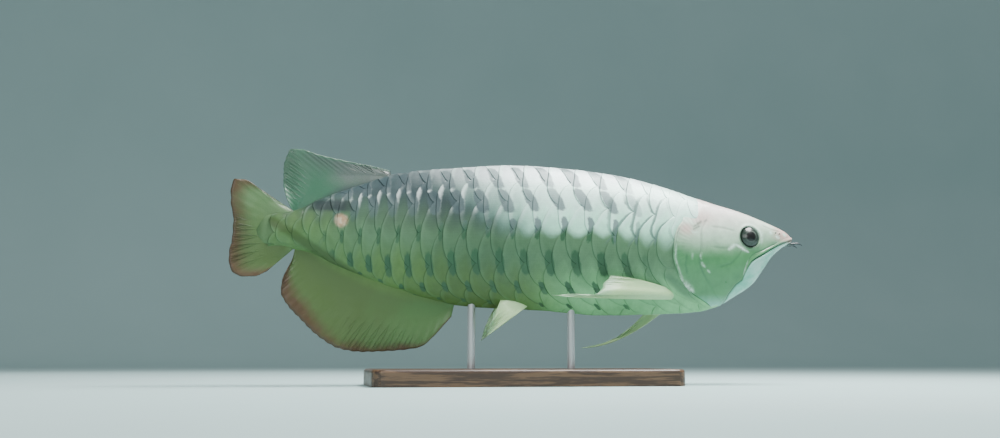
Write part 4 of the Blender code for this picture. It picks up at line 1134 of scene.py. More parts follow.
def build_skin(colours):
    """One closed skin from the snout to inside the tail fin."""
    starts, shifts, lifts = skin_rings()
    turn = skin_turns(starts)
    rows, around = turn.shape
    on_side = cover_share(np.minimum(turn, 2 * pi - turn))
    start = starts[:, None] + shifts[:, None] * on_side
    follow = skin_follow(np.broadcast_to(starts[:, None], turn.shape))
    points = body_point(start, follow, turn)
    normals = body_normal(np.broadcast_to(np.minimum(starts, 0.2872)[:, None], turn.shape),
                          skin_follow, turn)
    lift, crease_shade, jaw = head_relief(start, points, turn, mouth_distance(points))
    # Trunk and fold have heights of their own
    fixed = ~np.isnan(lifts)[:, None]
    plain = np.nan_to_num(lifts)[:, None]
    lift = np.where(fixed, plain, lift)
    lift[FOLD] = plain[FOLD] * on_side[FOLD] + UNDER_SCALES * (1 - on_side[FOLD])
    lift *= 1 - 0.8 * smooth(0.2868, 0.2887, points[..., 0])
    crease_shade = np.where(fixed, 0.0, crease_shade)
    # Painted shade under the gill cover's rolled edge
    crease_shade[FOLD] = (0.8 * (1 - smooth(0.0003, 0.0013, plain[FOLD]))) * on_side[FOLD]
    jaw = np.where(fixed, 0.0, jaw)
    # Painted shade of the pits on the nape
    for line in NAPE_PITS:
        away, _ = polyline_distance(points[..., 0], points[..., 2], line)
        crease_shade = np.maximum(crease_shade, 0.62 * bump(away, 0.0009) * (starts[:, None] > GILL_REAR))
    painted_highlight, blush, bone = head_tints(starts, start, points, on_side)
    on_head = smooth(0.0, 0.022, starts - GILL_REAR)[:, None] * np.ones(turn.shape)
    on_head = np.maximum(on_head, (starts > GILL_REAR)[:, None] * on_side)
    shifted = points + normals * lift[..., None]
    end = np.clip((SKIN_TAPER[0] - starts) / (SKIN_TAPER[0] - SKIN_TAPER[1]), 0, 1)[:, None]
    shifted[..., 1] *= 1 - 0.92 * end ** 1.6
    shifted[..., 2] *= np.sqrt(1 - 0.90 * end ** 2)
    faces = grid_faces(rows, around, closed=True, flip=True)
    faces.append(tuple(range(around)))
    faces.append(tuple(rows * around - 1 - k for k in range(around)))
    masks = {"crease_shade": np.clip(crease_shade, 0, 1), "jaw": jaw, "head": on_head,
             "blush": blush, "painted_highlight": painted_highlight, "bone": bone}
    masks = {field: values.ravel() for field, values in masks.items()}
    piece = mesh_piece("fish_skin", shifted.reshape(-1, 3), faces, skin_material(colours),
                       masks, points.reshape(-1, 3))
    corner = corner_points(piece.data)
    add_map(piece.data, "OFBake", 0.02 + 0.96 * (corner // around) / rows,
            0.02 + 0.96 * (corner % around) / around)
    fit(piece, "head_skin", "head", "lower_jaw", "torso", "tail")


# Scales

def row_turn(start, follow, row):
    """The turns at which one row of scales crosses lines round the body."""
    if row in (0, HALF_ROWS):
        return np.full(start.shape, pi * row / HALF_ROWS)
    top, bottom = line_ends(start, follow)
    x = start
    for _ in range(4):
        level = np.minimum(row_level_at[row - 1](x), top - ROW_SQUEEZE * row)
        level = np.maximum(level, bottom + ROW_SQUEEZE * (HALF_ROWS - row))
        x = start + follow * (gill_edge_at(level) - GILL_REAR)
    middle = bottom + WIDEST_SHARE * (top - bottom)
    reach = np.where(level > middle, top - middle, middle - bottom)
    return np.arccos(np.clip((level - middle) / reach, -1, 1))


def row_turns(start, follow):
    """The turns of every row from the back to the belly."""
    return np.stack([row_turn(start, follow, row) for row in range(HALF_ROWS + 1)], axis=1)


def lattice_turn(start, follow, rows):
    """The turns where scale columns and rows meet."""
    table = row_turns(start, follow)
    around = np.mod(rows, SCALE_ROWS)
    mirrored = around > HALF_ROWS
    folded = np.where(mirrored, SCALE_ROWS - around, around)
    low = np.minimum(folded.astype(int), HALF_ROWS - 1)
    part = folded - low
    turn = table[:, low] * (1 - part) + table[:, low + 1] * part
    return np.where(mirrored, 2 * pi - turn, turn)


def scale_sheet():
    """A helper sheet over the body whose map is the lattice of scales."""
    columns, rows = np.linspace(*SHEET_COLUMNS), np.linspace(*SHEET_ROWS)
    start = column_start_at(columns)
    follow = column_follow_at(start)
    turn = lattice_turn(start, follow, rows)
    points = body_point(start[:, None], follow[:, None], turn)
    normals = body_normal(np.broadcast_to(start[:, None], turn.shape), column_follow_at, turn)
    outwards = posed(points + normals * 0.001) - posed(points)
    sheet = mesh_piece("scale_sheet", points.reshape(-1, 3), grid_faces(len(columns), len(rows)),
                       None, {"out": unit(outwards.reshape(-1, 3))})
    corner = corner_points(sheet.data)
    add_map(sheet.data, "lattice",
            (columns[corner // len(rows)] - LATTICE_START[0]) / LATTICE_SPAN[0],
            (rows[corner % len(rows)] - LATTICE_START[1]) / LATTICE_SPAN[1])
    return sheet


def sag(across):
    """How far a scale's rear edge lies before its tip at a share of its half width."""
    across = np.clip(np.abs(across), 0, 1)
    return 0.5 * (1 - (1 - across ** EDGE_CURVE[0]) ** EDGE_CURVE[1])


def scale_plate(finish):
    """One scale on the lattice: X in columns, Y in rows and Z in shares of its rise."""
    wide, depth = 12, np.array((0.0, 0.05, 0.35, 0.75, 1.25))
    a, d = np.meshgrid(np.sin(np.linspace(-1, 1, wide + 1) * pi / 2), depth, indexing="ij")
    column = -(sag(a) * (1 - smooth(0.3, 1.2, d)) + d)
    row = a * (1.03 - 0.25 * smooth(0.45, 1.25, d))
    height = 1 + column * SCALE_SLOPE - 0.07 * (1 - smooth(0.0, 0.05, d))
    top = np.stack((column, row, height), axis=-1).reshape(-1, 3)
    across, deep = a.shape
    faces = grid_faces(across, deep)
    rim = [i * deep for i in range(across)] + [wide * deep + k for k in range(1, deep)]
    rim += [i * deep + deep - 1 for i in range(wide - 1, -1, -1)] + list(range(deep - 2, 0, -1))
    under = top[rim] - (0.012, 0.0, SCALE_THICKNESS)
    below = [len(top) + k for k in range(len(rim))]
    for k, p in enumerate(rim):
        j = (k + 1) % len(rim)
        faces.append((p, rim[j], below[j], below[k]))
    right, left = below[wide:wide + deep], [below[0]] + below[:-deep:-1]
    faces.append((*below[:wide + 1], right[1], left[1]))
    faces += [(left[k], right[k], right[k + 1], left[k + 1]) for k in range(1, deep - 2)]
    faces.append((left[-2], *below[wide + deep - 2:len(below) - deep + 2]))
    local = np.concatenate((top, under))
    plate = add_mesh("scale_plate", local, [], faces, {"scale": local})
    plate.data.materials.append(finish)
    return plate, local


def scales_group():
    """Geometry group: a plate on every point of the lattice, laid on the sheet."""
    tree, start, end = new_group(
        "lay_scales", "GeometryNodeTree",
        [("Lattice", "shape", None), ("Plate", "object", None), ("Sheet", "object", None),
         ("Rise", "number", 0.0016), ("Variation", "number", 0.15), ("Seed", "whole", 7),
         ("Material", "finish", None)],
        [("Scales", "shape")],
    )

    def named(label, kind="FLOAT_VECTOR"):
        """A field of the mesh."""
        return tree.add("GeometryNodeInputNamedAttribute", {"Name": label}, data_type=kind)[0]

    def stored(shape, label, value, kind="FLOAT_VECTOR"):
        """The shape with a value kept as a field of its points."""
        return tree.add("GeometryNodeStoreNamedAttribute",
                        {"Geometry": shape, "Name": label, "Value": value},
                        data_type=kind, domain="POINT")[0]

    def sampled(value):
        """What the sheet holds at the plate's places on the lattice."""
        node = tree.tree.nodes.new("GeometryNodeSampleUVSurface")
        node.data_type = "FLOAT_VECTOR"
        inputs = {socket.identifier: socket for socket in node.inputs}
        for label, wire in (("Mesh", sheet), ("Value", value),
                            ("Source UV Map", named("lattice")), ("Sample UV", spot)):
            tree.feed(inputs[label], wire)
        return Wire(tree, node.outputs[0])

    plate, sheet = (tree.add("GeometryNodeObjectInfo", {"Object": start[word]})["Geometry"]
                    for word in ("Plate", "Sheet"))
    chance = tree.add("FunctionNodeRandomValue", {"Seed": start["Seed"]}, data_type="FLOAT")[1]
    spots = stored(start["Lattice"], "chance", chance, "FLOAT")
    laid = tree.add("GeometryNodeInstanceOnPoints", {"Points": spots, "Instance": plate})[0]
    real = tree.add("GeometryNodeRealizeInstances", {"Geometry": laid})[0]
    position = tree.add("GeometryNodeInputPosition")[0]
    x, y, z = tree.split(position)
    spot = tree.join((x - LATTICE_START[0]) / LATTICE_SPAN[0],
                     (y - LATTICE_START[1]) / LATTICE_SPAN[1])
    rise = named("rise", "FLOAT") * start["Rise"]
    rise *= (named("chance", "FLOAT") - 0.5) * start["Variation"] + 1.0
    outwards = tree.scaled(sampled(named("out")), z * rise)
    place = tree.add("ShaderNodeVectorMath", {0: sampled(position), 1: outwards},
                     operation="ADD")[0]
    kept = stored(real, "lattice", position)
    kept = stored(kept, "place", sampled(named("place")))
    moved = tree.add("GeometryNodeSetPosition", {"Geometry": kept, "Position": place})[0]
    dress(tree, moved, start, end, "Scales")


def dress(tree, shape, start, end, output):
    """Shade a shape softly, give it the group's material and hand it out."""
    soft = tree.add("GeometryNodeSetShadeSmooth", {"Geometry": shape})[0]
    values = {"Geometry": soft, "Material": start["Material"]}
    tree.link(end, **{output: tree.add("GeometryNodeSetMaterial", values)[0]})


def scale_rises(columns, rows):
    """The share of the full rise of every scale, from its width and place."""
    start = column_start_at(columns)
    follow = column_follow_at(start)
    turns = row_turns(start, follow)
    folded = np.where(rows > HALF_ROWS, SCALE_ROWS - rows, rows).astype(int)
    on_middle = (folded == 0) | (folded == HALF_ROWS)
    index = np.arange(len(rows))
    near, here, far = (body_point(start, follow, turns[index, np.clip(row, 0, HALF_ROWS)])
                       for row in (folded - 1, folded, folded + 1))
    width = np.linalg.norm(near - far, axis=1)
    width = np.where(on_middle, width, width / 2)
    rise = smooth(*NARROW_ROW, width) * (0.30 + 0.70 * smooth(*TAIL_FADE, here[:, 0]))
    rise *= np.where(folded < 3, 0.25 + 0.75 * smooth(-2.0, 1.0, columns),
                     0.42 + 0.58 * smooth(-0.5, 1.5, columns))
    return np.where(on_middle, rise * 0.92, rise)


def build_scales(settings, colours):
    """The large overlapping scales of the body."""
    spots = [(tip / 2, row) for tip in range(LAST_TIP + 1)
             for row in range(tip % 2, SCALE_ROWS, 2)
             if row % HALF_ROWS or tip < LAST_RIDGE_TIP]
    spots = np.array(spots + NAPE_SPOTS, float)
    lattice = add_mesh("scale_lattice", np.column_stack((spots, np.zeros(len(spots)))), [], [],
                       {"rise": scale_rises(*spots.T)})
    finish = scale_material(colours)
    (plate, tops), sheet = scale_plate(finish), scale_sheet()
    apply_group(lattice, "lay_scales", {
        "Plate": plate, "Sheet": sheet, "Rise": settings.scale_rise,
        "Variation": settings.scale_variation, "Seed": settings.seed, "Material": finish,
    })
    piece = finished_copy(lattice, "fish_scales")
    corner = corner_points(piece.data)
    spot, local = spots[corner // len(tops)], tops[corner % len(tops)]
    for layer in list(piece.data.uv_layers):
        piece.data.uv_layers.remove(layer)
    add_map(piece.data, "OFBake",
            (spot[:, 0] + 0.5 + 0.9 * (local[:, 0] / 1.9 + 0.5)) / 22.5,
            (spot[:, 1] + 0.5 + 0.9 * local[:, 1] / 2.1) / 15.0)
    remove(lattice, plate, sheet)
    fit(piece, "scales")


# Fins

def fin_sheet(name, rays, stations, ray_at, half_at, finish):
    """A thin, closed fin web from functions of its places and its half thickness."""
    count = (rays - 1) * LINES_PER_RAY + 1
    s = np.linspace(0, 1, count)[:, None]
    t = np.linspace(0, 1, stations + 1)[None, :] ** 0.9
    between = np.sin(pi * s * (rays - 1)) ** 2
    s, t, between = np.broadcast_arrays(s, t, between)
    length = t * (1 - 0.010 * between)
    points = ray_at(s, length)
    normal = unit(np.cross(np.gradient(points, axis=0), np.gradient(points, axis=1)))
    ripple = WEB_RIPPLE * np.sin(2 * pi * s * (rays - 1) + 0.6) * smooth(0.3, 0.9, t)
    ripple += WEB_WAVE * np.sin(9.0 * s + 2.5 * t) * smooth(0.3, 1.0, t) ** 2
    points += normal * ripple[..., None]
    half = half_at(s, t)[..., None]
    rows, columns = s.shape
    top = (points + normal * half).reshape(-1, 3)
    under = (points - normal * half).reshape(-1, 3)
    faces = grid_faces(rows, columns, flip=True) + grid_faces(rows, columns, offset=len(top))
    rim = [i * columns for i in range(rows)]
    rim += [(rows - 1) * columns + k for k in range(1, columns)]
    rim += [i * columns + columns - 1 for i in range(rows - 2, -1, -1)]
    rim += list(range(columns - 2, 0, -1))
    for p, q in zip(rim, rim[1:] + rim[:1]):
        faces.append((q, p, len(top) + p, len(top) + q))
    edge = np.maximum(t, np.maximum(1 - s * 14, 0) * t)
    local = np.stack((s * (rays - 1), t, edge), axis=-1).reshape(-1, 3)
    return mesh_piece(name, np.concatenate((top, under)), faces, finish,
                      {"fin": np.concatenate((local, local))})


def fin_rays(name, rays, ray_at, thick, finish):
    """The fin's rays, which part twice on their way to the margin, laid by a geometry group."""
    places, edges, radii, local = [], [], [], []
    for ray in range(rays):
        for low, high, from_off, to_off in RAY_PARTS:
            t = np.linspace(low, high, RAY_STATIONS)
            off = from_off + (to_off - from_off) * smooth(low, high, t)
            at = np.clip((ray + off) / (rays - 1), 0, 1)
            edges += [(len(places) + k, len(places) + k + 1) for k in range(len(t) - 1)]
            places += ray_at(at, t).tolist()
            radii += list(thick[0] + (thick[1] - thick[0]) * t ** 0.7)
            local += np.column_stack((at * (rays - 1), t, t)).tolist()
    lines = add_mesh(name + "_lines", posed(places), edges, [],
                     {"width": radii, "fin": local, "place": places})
    apply_group(lines, "lay_rays", {"Sides": RAY_SIDES, "Material": finish})
    piece = finished_copy(lines, name)
    remove(lines)
    return piece


def rays_group():
    """Geometry group: a tapering round bar along every line."""
    tree, start, end = new_group(
        "lay_rays", "GeometryNodeTree",
        [("Lines", "shape", None), ("Sides", "whole", 6), ("Material", "finish", None)],
        [("Rays", "shape")],
    )
    curves = tree.add("GeometryNodeMeshToCurve", {"Mesh": start["Lines"]})[0]
    width = tree.add("GeometryNodeInputNamedAttribute", {"Name": "width"}, data_type="FLOAT")[0]
    circle = {"Resolution": start["Sides"], "Radius": 1.0}
    profile = tree.add("GeometryNodeCurvePrimitiveCircle", circle)[0]
    bars = tree.add("GeometryNodeCurveToMesh", {"Curve": curves, "Profile Curve": profile,
                                                "Scale": width, "Fill Caps": True})[0]
    real = tree.add("GeometryNodeRealizeInstances", {"Geometry": bars})[0]
    dress(tree, real, start, end, "Rays")


def add_fin(web, rays, slot, node):
    """Let the web and the rays of a fin stand for its solid."""
    for piece in (web, rays):
        fit(piece, slot, node)


def build_middle_fins(settings, colours):
    """Dorsal, anal and tail fin: a thin web with branching rays."""
    for word, plan in MIDDLE_FINS.items():
        margin = along([(x, 0.0, z) for x, z in plan["margin"]])
        first, last = plan["base"]
        edge_at, inwards = (back_at, -1) if word == "dorsal" else (belly_at, 1)

        def ray_at(s, t):
            """Places at shares s from the first ray to the last and t from root to margin."""
            s, t = np.broadcast_arrays(np.asarray(s, float), np.asarray(t, float))
            if word == "caudal":
                top, bottom = back_at(first) - 0.001, belly_at(first) + 0.001
                x, z = np.full(s.shape, first), top + (bottom - top) * s
            else:
                x = first + (last - first) * s
                z = edge_at(x) + inwards * ROOT_DEPTH
            root = np.stack((x, np.zeros(s.shape), z), axis=-1)
            return root + (margin(s ** plan["spread"]) - root) * t[..., None]

        def half_at(s, t):
            """Half the web's thickness there, with more flesh near the root."""
            across = 0.35 + 0.65 * np.sin(pi * np.clip(s, 0.02, 0.98)) ** 0.5
            flesh = plan["flesh"] * (1 - smooth(0.0, 0.55, t)) * across
            return np.maximum(flesh, 0.00042 - 0.00022 * t)

        *web, edge = (getattr(colours, label) for label in FIN_TINTS[word])
        finish = fin_material(f"{word}_web", web, edge, plan["margin_from"], 0.28, 1.0,
                              0.22)
        add_fin(fin_sheet(f"{word}_web", plan["rays"], WEB_STATIONS, ray_at, half_at, finish),
                fin_rays(f"{word}_rays", plan["rays"], ray_at,
                         (settings.ray_root, settings.ray_tip), finish),
                "fin_olive", f"{word}_fin")


def build_side_fins(settings, colours):
    """Pectoral and pelvic fins, whose webs are half clear."""
    web = (colours.pale_web, colours.pale_green, colours.pale_streak, colours.pale_dark)
    finish = fin_material("pale_web", web, colours.pale_green, 0.74, 0.9, 0.50, 0.10)
    for name, plan in SIDE_FINS.items():
        side = plan["side"]
        margin = along([(x, side * y, z) for x, y, z in plan["tips"]])
        roots = [np.array((x - 0.005, side * (float(flank(x, z)) - ROOT_DEPTH), z + 0.001))
                 for x, z in plan["root"]]
        bows = [np.array((x, side * y, z)) for x, y, z in plan["bows"]]

        def ray_at(s, t):
            """Places at shares s from the first ray to the last and t from root to margin."""
            s, t = np.broadcast_arrays(np.asarray(s, float), np.asarray(t, float))
            s3, t3 = s[..., None], t[..., None]
            root = roots[0] + (roots[1] - roots[0]) * s3
            bow = bows[0] + (bows[1] - bows[0]) * s3
            return root + (margin(s) - root) * t3 + bow * 4 * t3 * (1 - t3)

        def half_at(s, t):
            """Half the web's thickness there, with more flesh near the root."""
            across = np.sin(pi * np.clip(s, 0.04, 0.96)) ** 0.6
            flesh = 0.0030 * (1 - smooth(0.08, 0.38, t)) * across
            return np.maximum(flesh, 0.00038 - 0.00020 * t)

        add_fin(fin_sheet(name + "_web", plan["rays"], SIDE_WEB_STATIONS, ray_at, half_at, finish),
                fin_rays(name + "_rays", plan["rays"], ray_at,
                         (settings.side_ray_root, settings.ray_tip), finish),
                "fin_pale", name)


# Eyes and barbels

def build_eyes(colours):
    """Two flattened eyeballs with a clear bulge over the pupil."""
    finish = eye_material(colours)
    x, y, z = EYE_CENTRE
    rings, around = EYE_GRID
    lean, turn = np.meshgrid(np.linspace(0, pi, rings + 2)[1:-1],
                             np.arange(around) * 2 * pi / around, indexing="ij")
    r = np.sin(lean)
    depth = np.cos(lean) + 0.10 * bump(r, 0.45) * (np.cos(lean) > 0)
    local = np.stack((r * np.cos(turn), r * np.sin(turn), np.where(lean < pi / 2, r, 1.0)),
                     axis=-1).reshape(-1, 3)
    for side, word in SIDES:
        points = np.stack((x + EYE_RADIUS * r * np.cos(turn), side * (y + EYE_BULGE * depth),
                           z + EYE_RADIUS * r * np.sin(turn)), axis=-1).reshape(-1, 3)
        poles = np.array(((x, side * (y + EYE_BULGE * 1.1), z), (x, side * (y - EYE_BULGE), z)))
        piece = mesh_piece(f"eyeball_{word}", np.concatenate((points, poles)),
                           capped_tube(rings, around, side < 0), finish,
                           {"eye": np.concatenate((local, ((0, 0, 0), (0, 0, 1))))})
        fit(piece, "eye", f"eye_{word}")


def build_barbels(colours):
    """The two short feelers on the tip of the lower jaw."""
    finish = barbel_material(colours)
    stations, around = BARBEL_GRID
    share = np.linspace(0, 1, stations)
    radius_at = curve(list(zip(np.linspace(0, 1, len(BARBEL_RADII)), BARBEL_RADII)))
    radius = radius_at(share)[:, None, None]
    turn = (np.arange(around) * 2 * pi / around)[None, :, None]
    for side, word in SIDES:
        path = along([(x, side * y, z) for x, y, z in BARBEL_PATH])
        centre = path(share)
        ahead = unit(np.gradient(centre, axis=0))
        wide = unit(np.cross(ahead, (0.0, 0.0, 1.0)))
        high = np.cross(wide, ahead)
        ring = wide[:, None] * np.cos(turn) + high[:, None] * np.sin(turn)
        points = (centre[:, None] + radius * ring).reshape(-1, 3)
        points = np.concatenate((points, path(np.array((0.0, 1.0)))))
        piece = mesh_piece(f"feeler_{word}", points, capped_tube(stations, around, True), finish)
        fit(piece, "barbel", f"barbel_{word}")


# Stand and studio

def finish_stand(colours):
    """Oiled wood and brushed steel on the stand's solids."""
    finishes = {"stand_wood": wood_material(colours), "stand_steel": steel_material(colours)}
    for node, slot in STAND_NODES.items():
        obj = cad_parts[node]
        obj.data.materials.clear()
        obj.data.materials.append(finishes[slot])


def add_paper(settings):
    """Pale floor that curves up behind."""
    front, rear, turn, top, wide = -5.0, 2.8, 0.9, 4.5, 6.0
    profile = [(front, 0.0), (rear, 0.0)]
    profile += [(rear + turn * sin(a), turn - turn * cos(a))
                for a in np.linspace(0, pi / 2, 24)[1:]]
    profile += [(rear + turn, top)]
    points = [(side * wide, y, z - 0.0002) for side in (-1, 1) for y, z in profile]
    count = len(profile)
    faces = [(k, count + k, count + k + 1, k + 1) for k in range(count - 1)]
    floor = add_mesh("studio_floor", points, [], faces, {})
    floor.data.shade_smooth()
    material, tree, shader = new_material("studio_paper", Roughness=0.9)
    tone = tree.stretched_noise((1.0, 1.0, 1.0), 3.0, 3.0).ease(0.2, 0.8)
    tree.link(shader, Base_Color=tree.mix(tone, settings.paper, settings.paper_shade))
    floor.data.materials.append(material)


def add_lights(settings, target):
    """Three soft lights and even light from all round."""
    lights = (
        ("top_light", (0.38, -0.08, 1.00), settings.top_power, 0.8, 0.5),
        ("front_light", (-0.7, -1.5, 0.75), settings.front_power, 1.2, 0.8),
        ("back_light", (-0.7, 1.0, 0.9), settings.back_power, 0.8, 0.6),
    )
    for name, spot, power, size, height in lights:
        light = bpy.data.lights.new(name, "AREA")
        light.shape = "RECTANGLE"
        light.size, light.size_y = size, height
        light.energy = power
        lamp = add_object(name, light)
        lamp.location = spot
        lamp.rotation_euler = (target - Vector(spot)).to_track_quat("-Z", "Y").to_euler()
    world = bpy.data.worlds.new("studio_air")
    world.use_nodes = True
    background = world.node_tree.nodes["Background"]
    background.inputs["Color"].default_value = (*settings.air_tint, 1)
    background.inputs["Strength"].default_value = settings.air
    bpy.context.scene.world = world


def add_camera(settings, target):
    """The camera, turned round the target as in the photo."""
    camera = bpy.data.cameras.new("photo_camera")
    camera.sensor_width = 36.0
    camera.lens = 36.0 * settings.focal
    camera.clip_start = 0.01
    camera.shift_x, camera.shift_y = settings.shift
    azimuth, elevation = radians(settings.azimuth), radians(settings.elevation)
    right = Vector((cos(azimuth), sin(azimuth), 0.0))
    ahead = Vector((-sin(azimuth) * cos(elevation), cos(azimuth) * cos(elevation),
                    -sin(elevation)))
    place = Matrix((right, right.cross(ahead), -ahead)).transposed().to_4x4()
    place.translation = target - ahead * settings.distance
    holder = add_object("photo_camera", camera)
    holder.matrix_world = place
    bpy.context.scene.camera = holder


def build_studio(settings):
    """Floor, lights and camera."""
    target = Vector((0.0, 0.0, MIDLINE_HEIGHT))
    add_paper(settings)
    add_lights(settings, target)
    add_camera(settings, target)


# Settings

def tint(name, description, colour):
    """A colour setting."""
    return bpy.props.FloatVectorProperty(name=name, description=description, default=colour,
                                         subtype="COLOR", min=0.0, max=1.0)


def size(name, description, value):
    """A length setting."""
    return bpy.props.FloatProperty(name=name, description=description, default=value,
                                   subtype="DISTANCE", unit="LENGTH", min=0.0, precision=5)


def amount(name, description, value, **limits):
    """A plain number setting."""
    return bpy.props.FloatProperty(name=name, description=description, default=value, **limits)


class ArowanaShape(bpy.types.PropertyGroup):
    """Sizes of the scales and the fin rays."""

    scale_rise: size("Scale rise", "How far a scale's rear edge stands over the body", 0.00075)
    scale_variation: amount("Scale variation", "Share by which the rise varies", 0.30, min=0.0)
    seed: bpy.props.IntProperty(name="Seed", description="Draw of the scales' differences",
                                default=7)
    ray_root: size("Ray radius at root", "Radius of the middle fins' rays at their root", 0.00058)
    ray_tip: size("Ray radius at tip", "Radius of every fin's rays at their tip", 0.00022)
    side_ray_root: size("Side ray radius", "Radius of the paired fins' rays at the root", 0.0006)


class ArowanaColours(bpy.types.PropertyGroup):
    """Colours of the fish and its stand."""

    # The silver is partly painted top light
    silver: tint("Silver", "Upper flank and back", (0.66, 0.94, 0.84))
    lilac: tint("Lilac", "Crest of the back", (0.72, 0.75, 0.82))
    # The flank's green is partly painted shade
    flank_green: tint("Flank green", "Lower flank", (0.086, 0.180, 0.094))
    belly_olive: tint("Belly olive", "Belly", (0.090, 0.176, 0.047))
    chest: tint("Chest", "Front of the belly", (0.20, 0.50, 0.23))
    rear_slate: tint("Rear slate", "Rear of the back", (0.048, 0.082, 0.086))
    rim: tint("Rear rims", "Pale scale rims of the rear back", (0.50, 0.57, 0.56))
    rim_green: tint("Green rims", "Scale rims of the lower flank", (0.12, 0.25, 0.14))
    crescent: tint("Upper marks", "Grey marks of the upper scales", (0.17, 0.23, 0.23))
    net: tint("Net lines", "Dark lines round the scales behind the head", (0.10, 0.17, 0.15))
    olive_dark: tint("Dark olive", "Shade over the anal fin", (0.045, 0.088, 0.022))
    # Painted shade under the dorsal fin
    slate_fin_shade: tint("Slate band", "Band under the dorsal fin", (0.018, 0.030, 0.032))
    slate_core: tint("Scale cores", "Dark cores of the rear back's scales", (0.035, 0.060, 0.066))
    dash_green: tint("Dashes", "Dark dashes of the lower scales", (0.030, 0.095, 0.045))
    scar: tint("Scar", "Place of a lost scale", (0.46, 0.27, 0.16))
    scar_pale: tint("Pale scar", "Middle of the lost scale's place", (0.62, 0.50, 0.36))
    head_cream: tint("Head cream", "Top of the head", (0.80, 0.78, 0.72))
    cheek_green: tint("Cheek green", "Cheek and gill cover", (0.070, 0.236, 0.092))
    throat: tint("Throat", "Throat and chest", (0.13, 0.46, 0.34))
    jaw_pale: tint("Jaw", "Lower jaw", (0.25, 0.58, 0.48))
    jaw_front: tint("Jaw tip", "Front of the lower jaw", (0.44, 0.64, 0.56))
    blush: tint("Blush", "Pink parts of snout and gill cover", (0.72, 0.43, 0.40))
    # Painted shade in the head's folds and behind the gill cover
    crease_shade: tint("Crease", "Depth of the head's folds", (0.03, 0.07, 0.045))
    # Painted highlights on the edges of the head's plates
    painted_highlight: tint("Gleam", "Pale edges of the head's plates", (0.66, 0.86, 0.74))
    iris: tint("Iris", "Iris of the eye", (0.017, 0.036, 0.024))
    iris_dark: tint("Dark iris", "Dark flecks of the iris", (0.012, 0.020, 0.016))
    iris_pale: tint("Pale iris", "Light rays of the iris", (0.050, 0.080, 0.062))
    pupil: tint("Pupil", "Pupil of the eye", (0.004, 0.005, 0.005))
    eye_ring: tint("Eye ring", "Silver ring of the eye", (0.55, 0.58, 0.52))
    web_olive: tint("Olive web", "Anal and tail fin", (0.066, 0.116, 0.035))
    web_green: tint("Green web", "Root of the anal fin", (0.067, 0.152, 0.046))
    web_dark: tint("Dark streaks", "Dark streaks of the fins", (0.045, 0.075, 0.028))
    caudal: tint("Tail fin", "Middle of the tail fin", (0.088, 0.170, 0.070))
    dorsal_front: tint("Dorsal front", "Front of the dorsal fin", (0.080, 0.110, 0.098))
    dorsal_rear: tint("Dorsal rear", "Rear of the dorsal fin", (0.034, 0.122, 0.068))
    streak: tint("Light streaks", "Light streaks near the margin", (0.18, 0.25, 0.10))
    margin_brown: tint("Brown margin", "Margin of anal and tail fin", (0.075, 0.044, 0.021))
    margin_green: tint("Green margin", "Margin of the dorsal fin", (0.045, 0.13, 0.08))
    pale_web: tint("Pale web", "Pectoral and pelvic fins", (0.45, 0.65, 0.34))
    pale_green: tint("Pale green", "Outer part of the paired fins", (0.30, 0.52, 0.30))
    pale_dark: tint("Pale fins, dark", "Dark streaks of the paired fins", (0.24, 0.40, 0.22))
    pale_streak: tint("Pale fins, light", "Light streaks of the paired fins", (0.78, 0.84, 0.68))
    barbel: tint("Barbel", "Feelers on the lower jaw", (0.012, 0.022, 0.026))
    barbel_root: tint("Barbel root", "Paler roots of the feelers", (0.07, 0.10, 0.09))
    wood_dark: tint("Dark wood", "Dark rings of the stand's wood", (0.045, 0.022, 0.012))
    wood_light: tint("Light wood", "Light rings of the stand's wood", (0.13, 0.070, 0.036))
    wood_pore: tint("Wood pores", "Pores of the stand's wood", (0.012, 0.007, 0.004))
    steel: tint("Steel", "Stand's rods", (0.62, 0.63, 0.64))
    steel_dark: tint("Dark steel", "Fine marks round the stand's rods", (0.52, 0.53, 0.54))


class ArowanaStudio(bpy.types.PropertyGroup):
    """Lights, paper and camera."""

    top_power: amount("Top light", "Power of the light above, in watts", 36.0, min=0.0)
    front_power: amount("Front light", "Power of the light beside the camera, in watts", 9.0,
                        min=0.0)
    back_power: amount("Back light", "Power of the light behind, in watts", 6.0, min=0.0)
    air: amount("Air", "Strength of the even light from all round", 0.45, min=0.0)
    air_tint: tint("Air tint", "Colour of the even light", (0.93, 0.97, 1.0))
    paper: tint("Paper", "Floor and backdrop", (0.42, 0.59, 0.58))
    paper_shade: tint("Paper shade", "Slightly darker paper", (0.40, 0.57, 0.56))
    azimuth: amount("Azimuth", "Turn of the camera round the model, in degrees", -11.0)
    elevation: amount("Elevation", "Height of the camera over the model, in degrees", -6.0)
    distance: size("Distance", "From the camera to the model's middle", 1.15)
    focal: amount("Focal length", "Focal length in widths of the picture", 1.15, min=0.1)
    shift: bpy.props.FloatVectorProperty(name="Shift", description="Shift of the picture",
                                         default=(-0.020, 0.019), size=2)


# Operators and panel

class AROWANA_OT_skin(bpy.types.Operator):
    """Build the skin of head and body"""

    bl_idname = "arowana.skin"
    bl_label = "Skin"

    def execute(self, context):
        build_skin(context.scene.arowana_colours)
        return {"FINISHED"}


class AROWANA_OT_scales(bpy.types.Operator):
    """Lay the scales on the body"""

    bl_idname = "arowana.scales"
    bl_label = "Scales"

    def execute(self, context):
        build_scales(context.scene.arowana_shape, context.scene.arowana_colours)
        return {"FINISHED"}


class AROWANA_OT_middle_fins(bpy.types.Operator):
    """Build the dorsal, anal and tail fin"""

    bl_idname = "arowana.middle_fins"
    bl_label = "Middle fins"

    def execute(self, context):
        build_middle_fins(context.scene.arowana_shape, context.scene.arowana_colours)
        return {"FINISHED"}


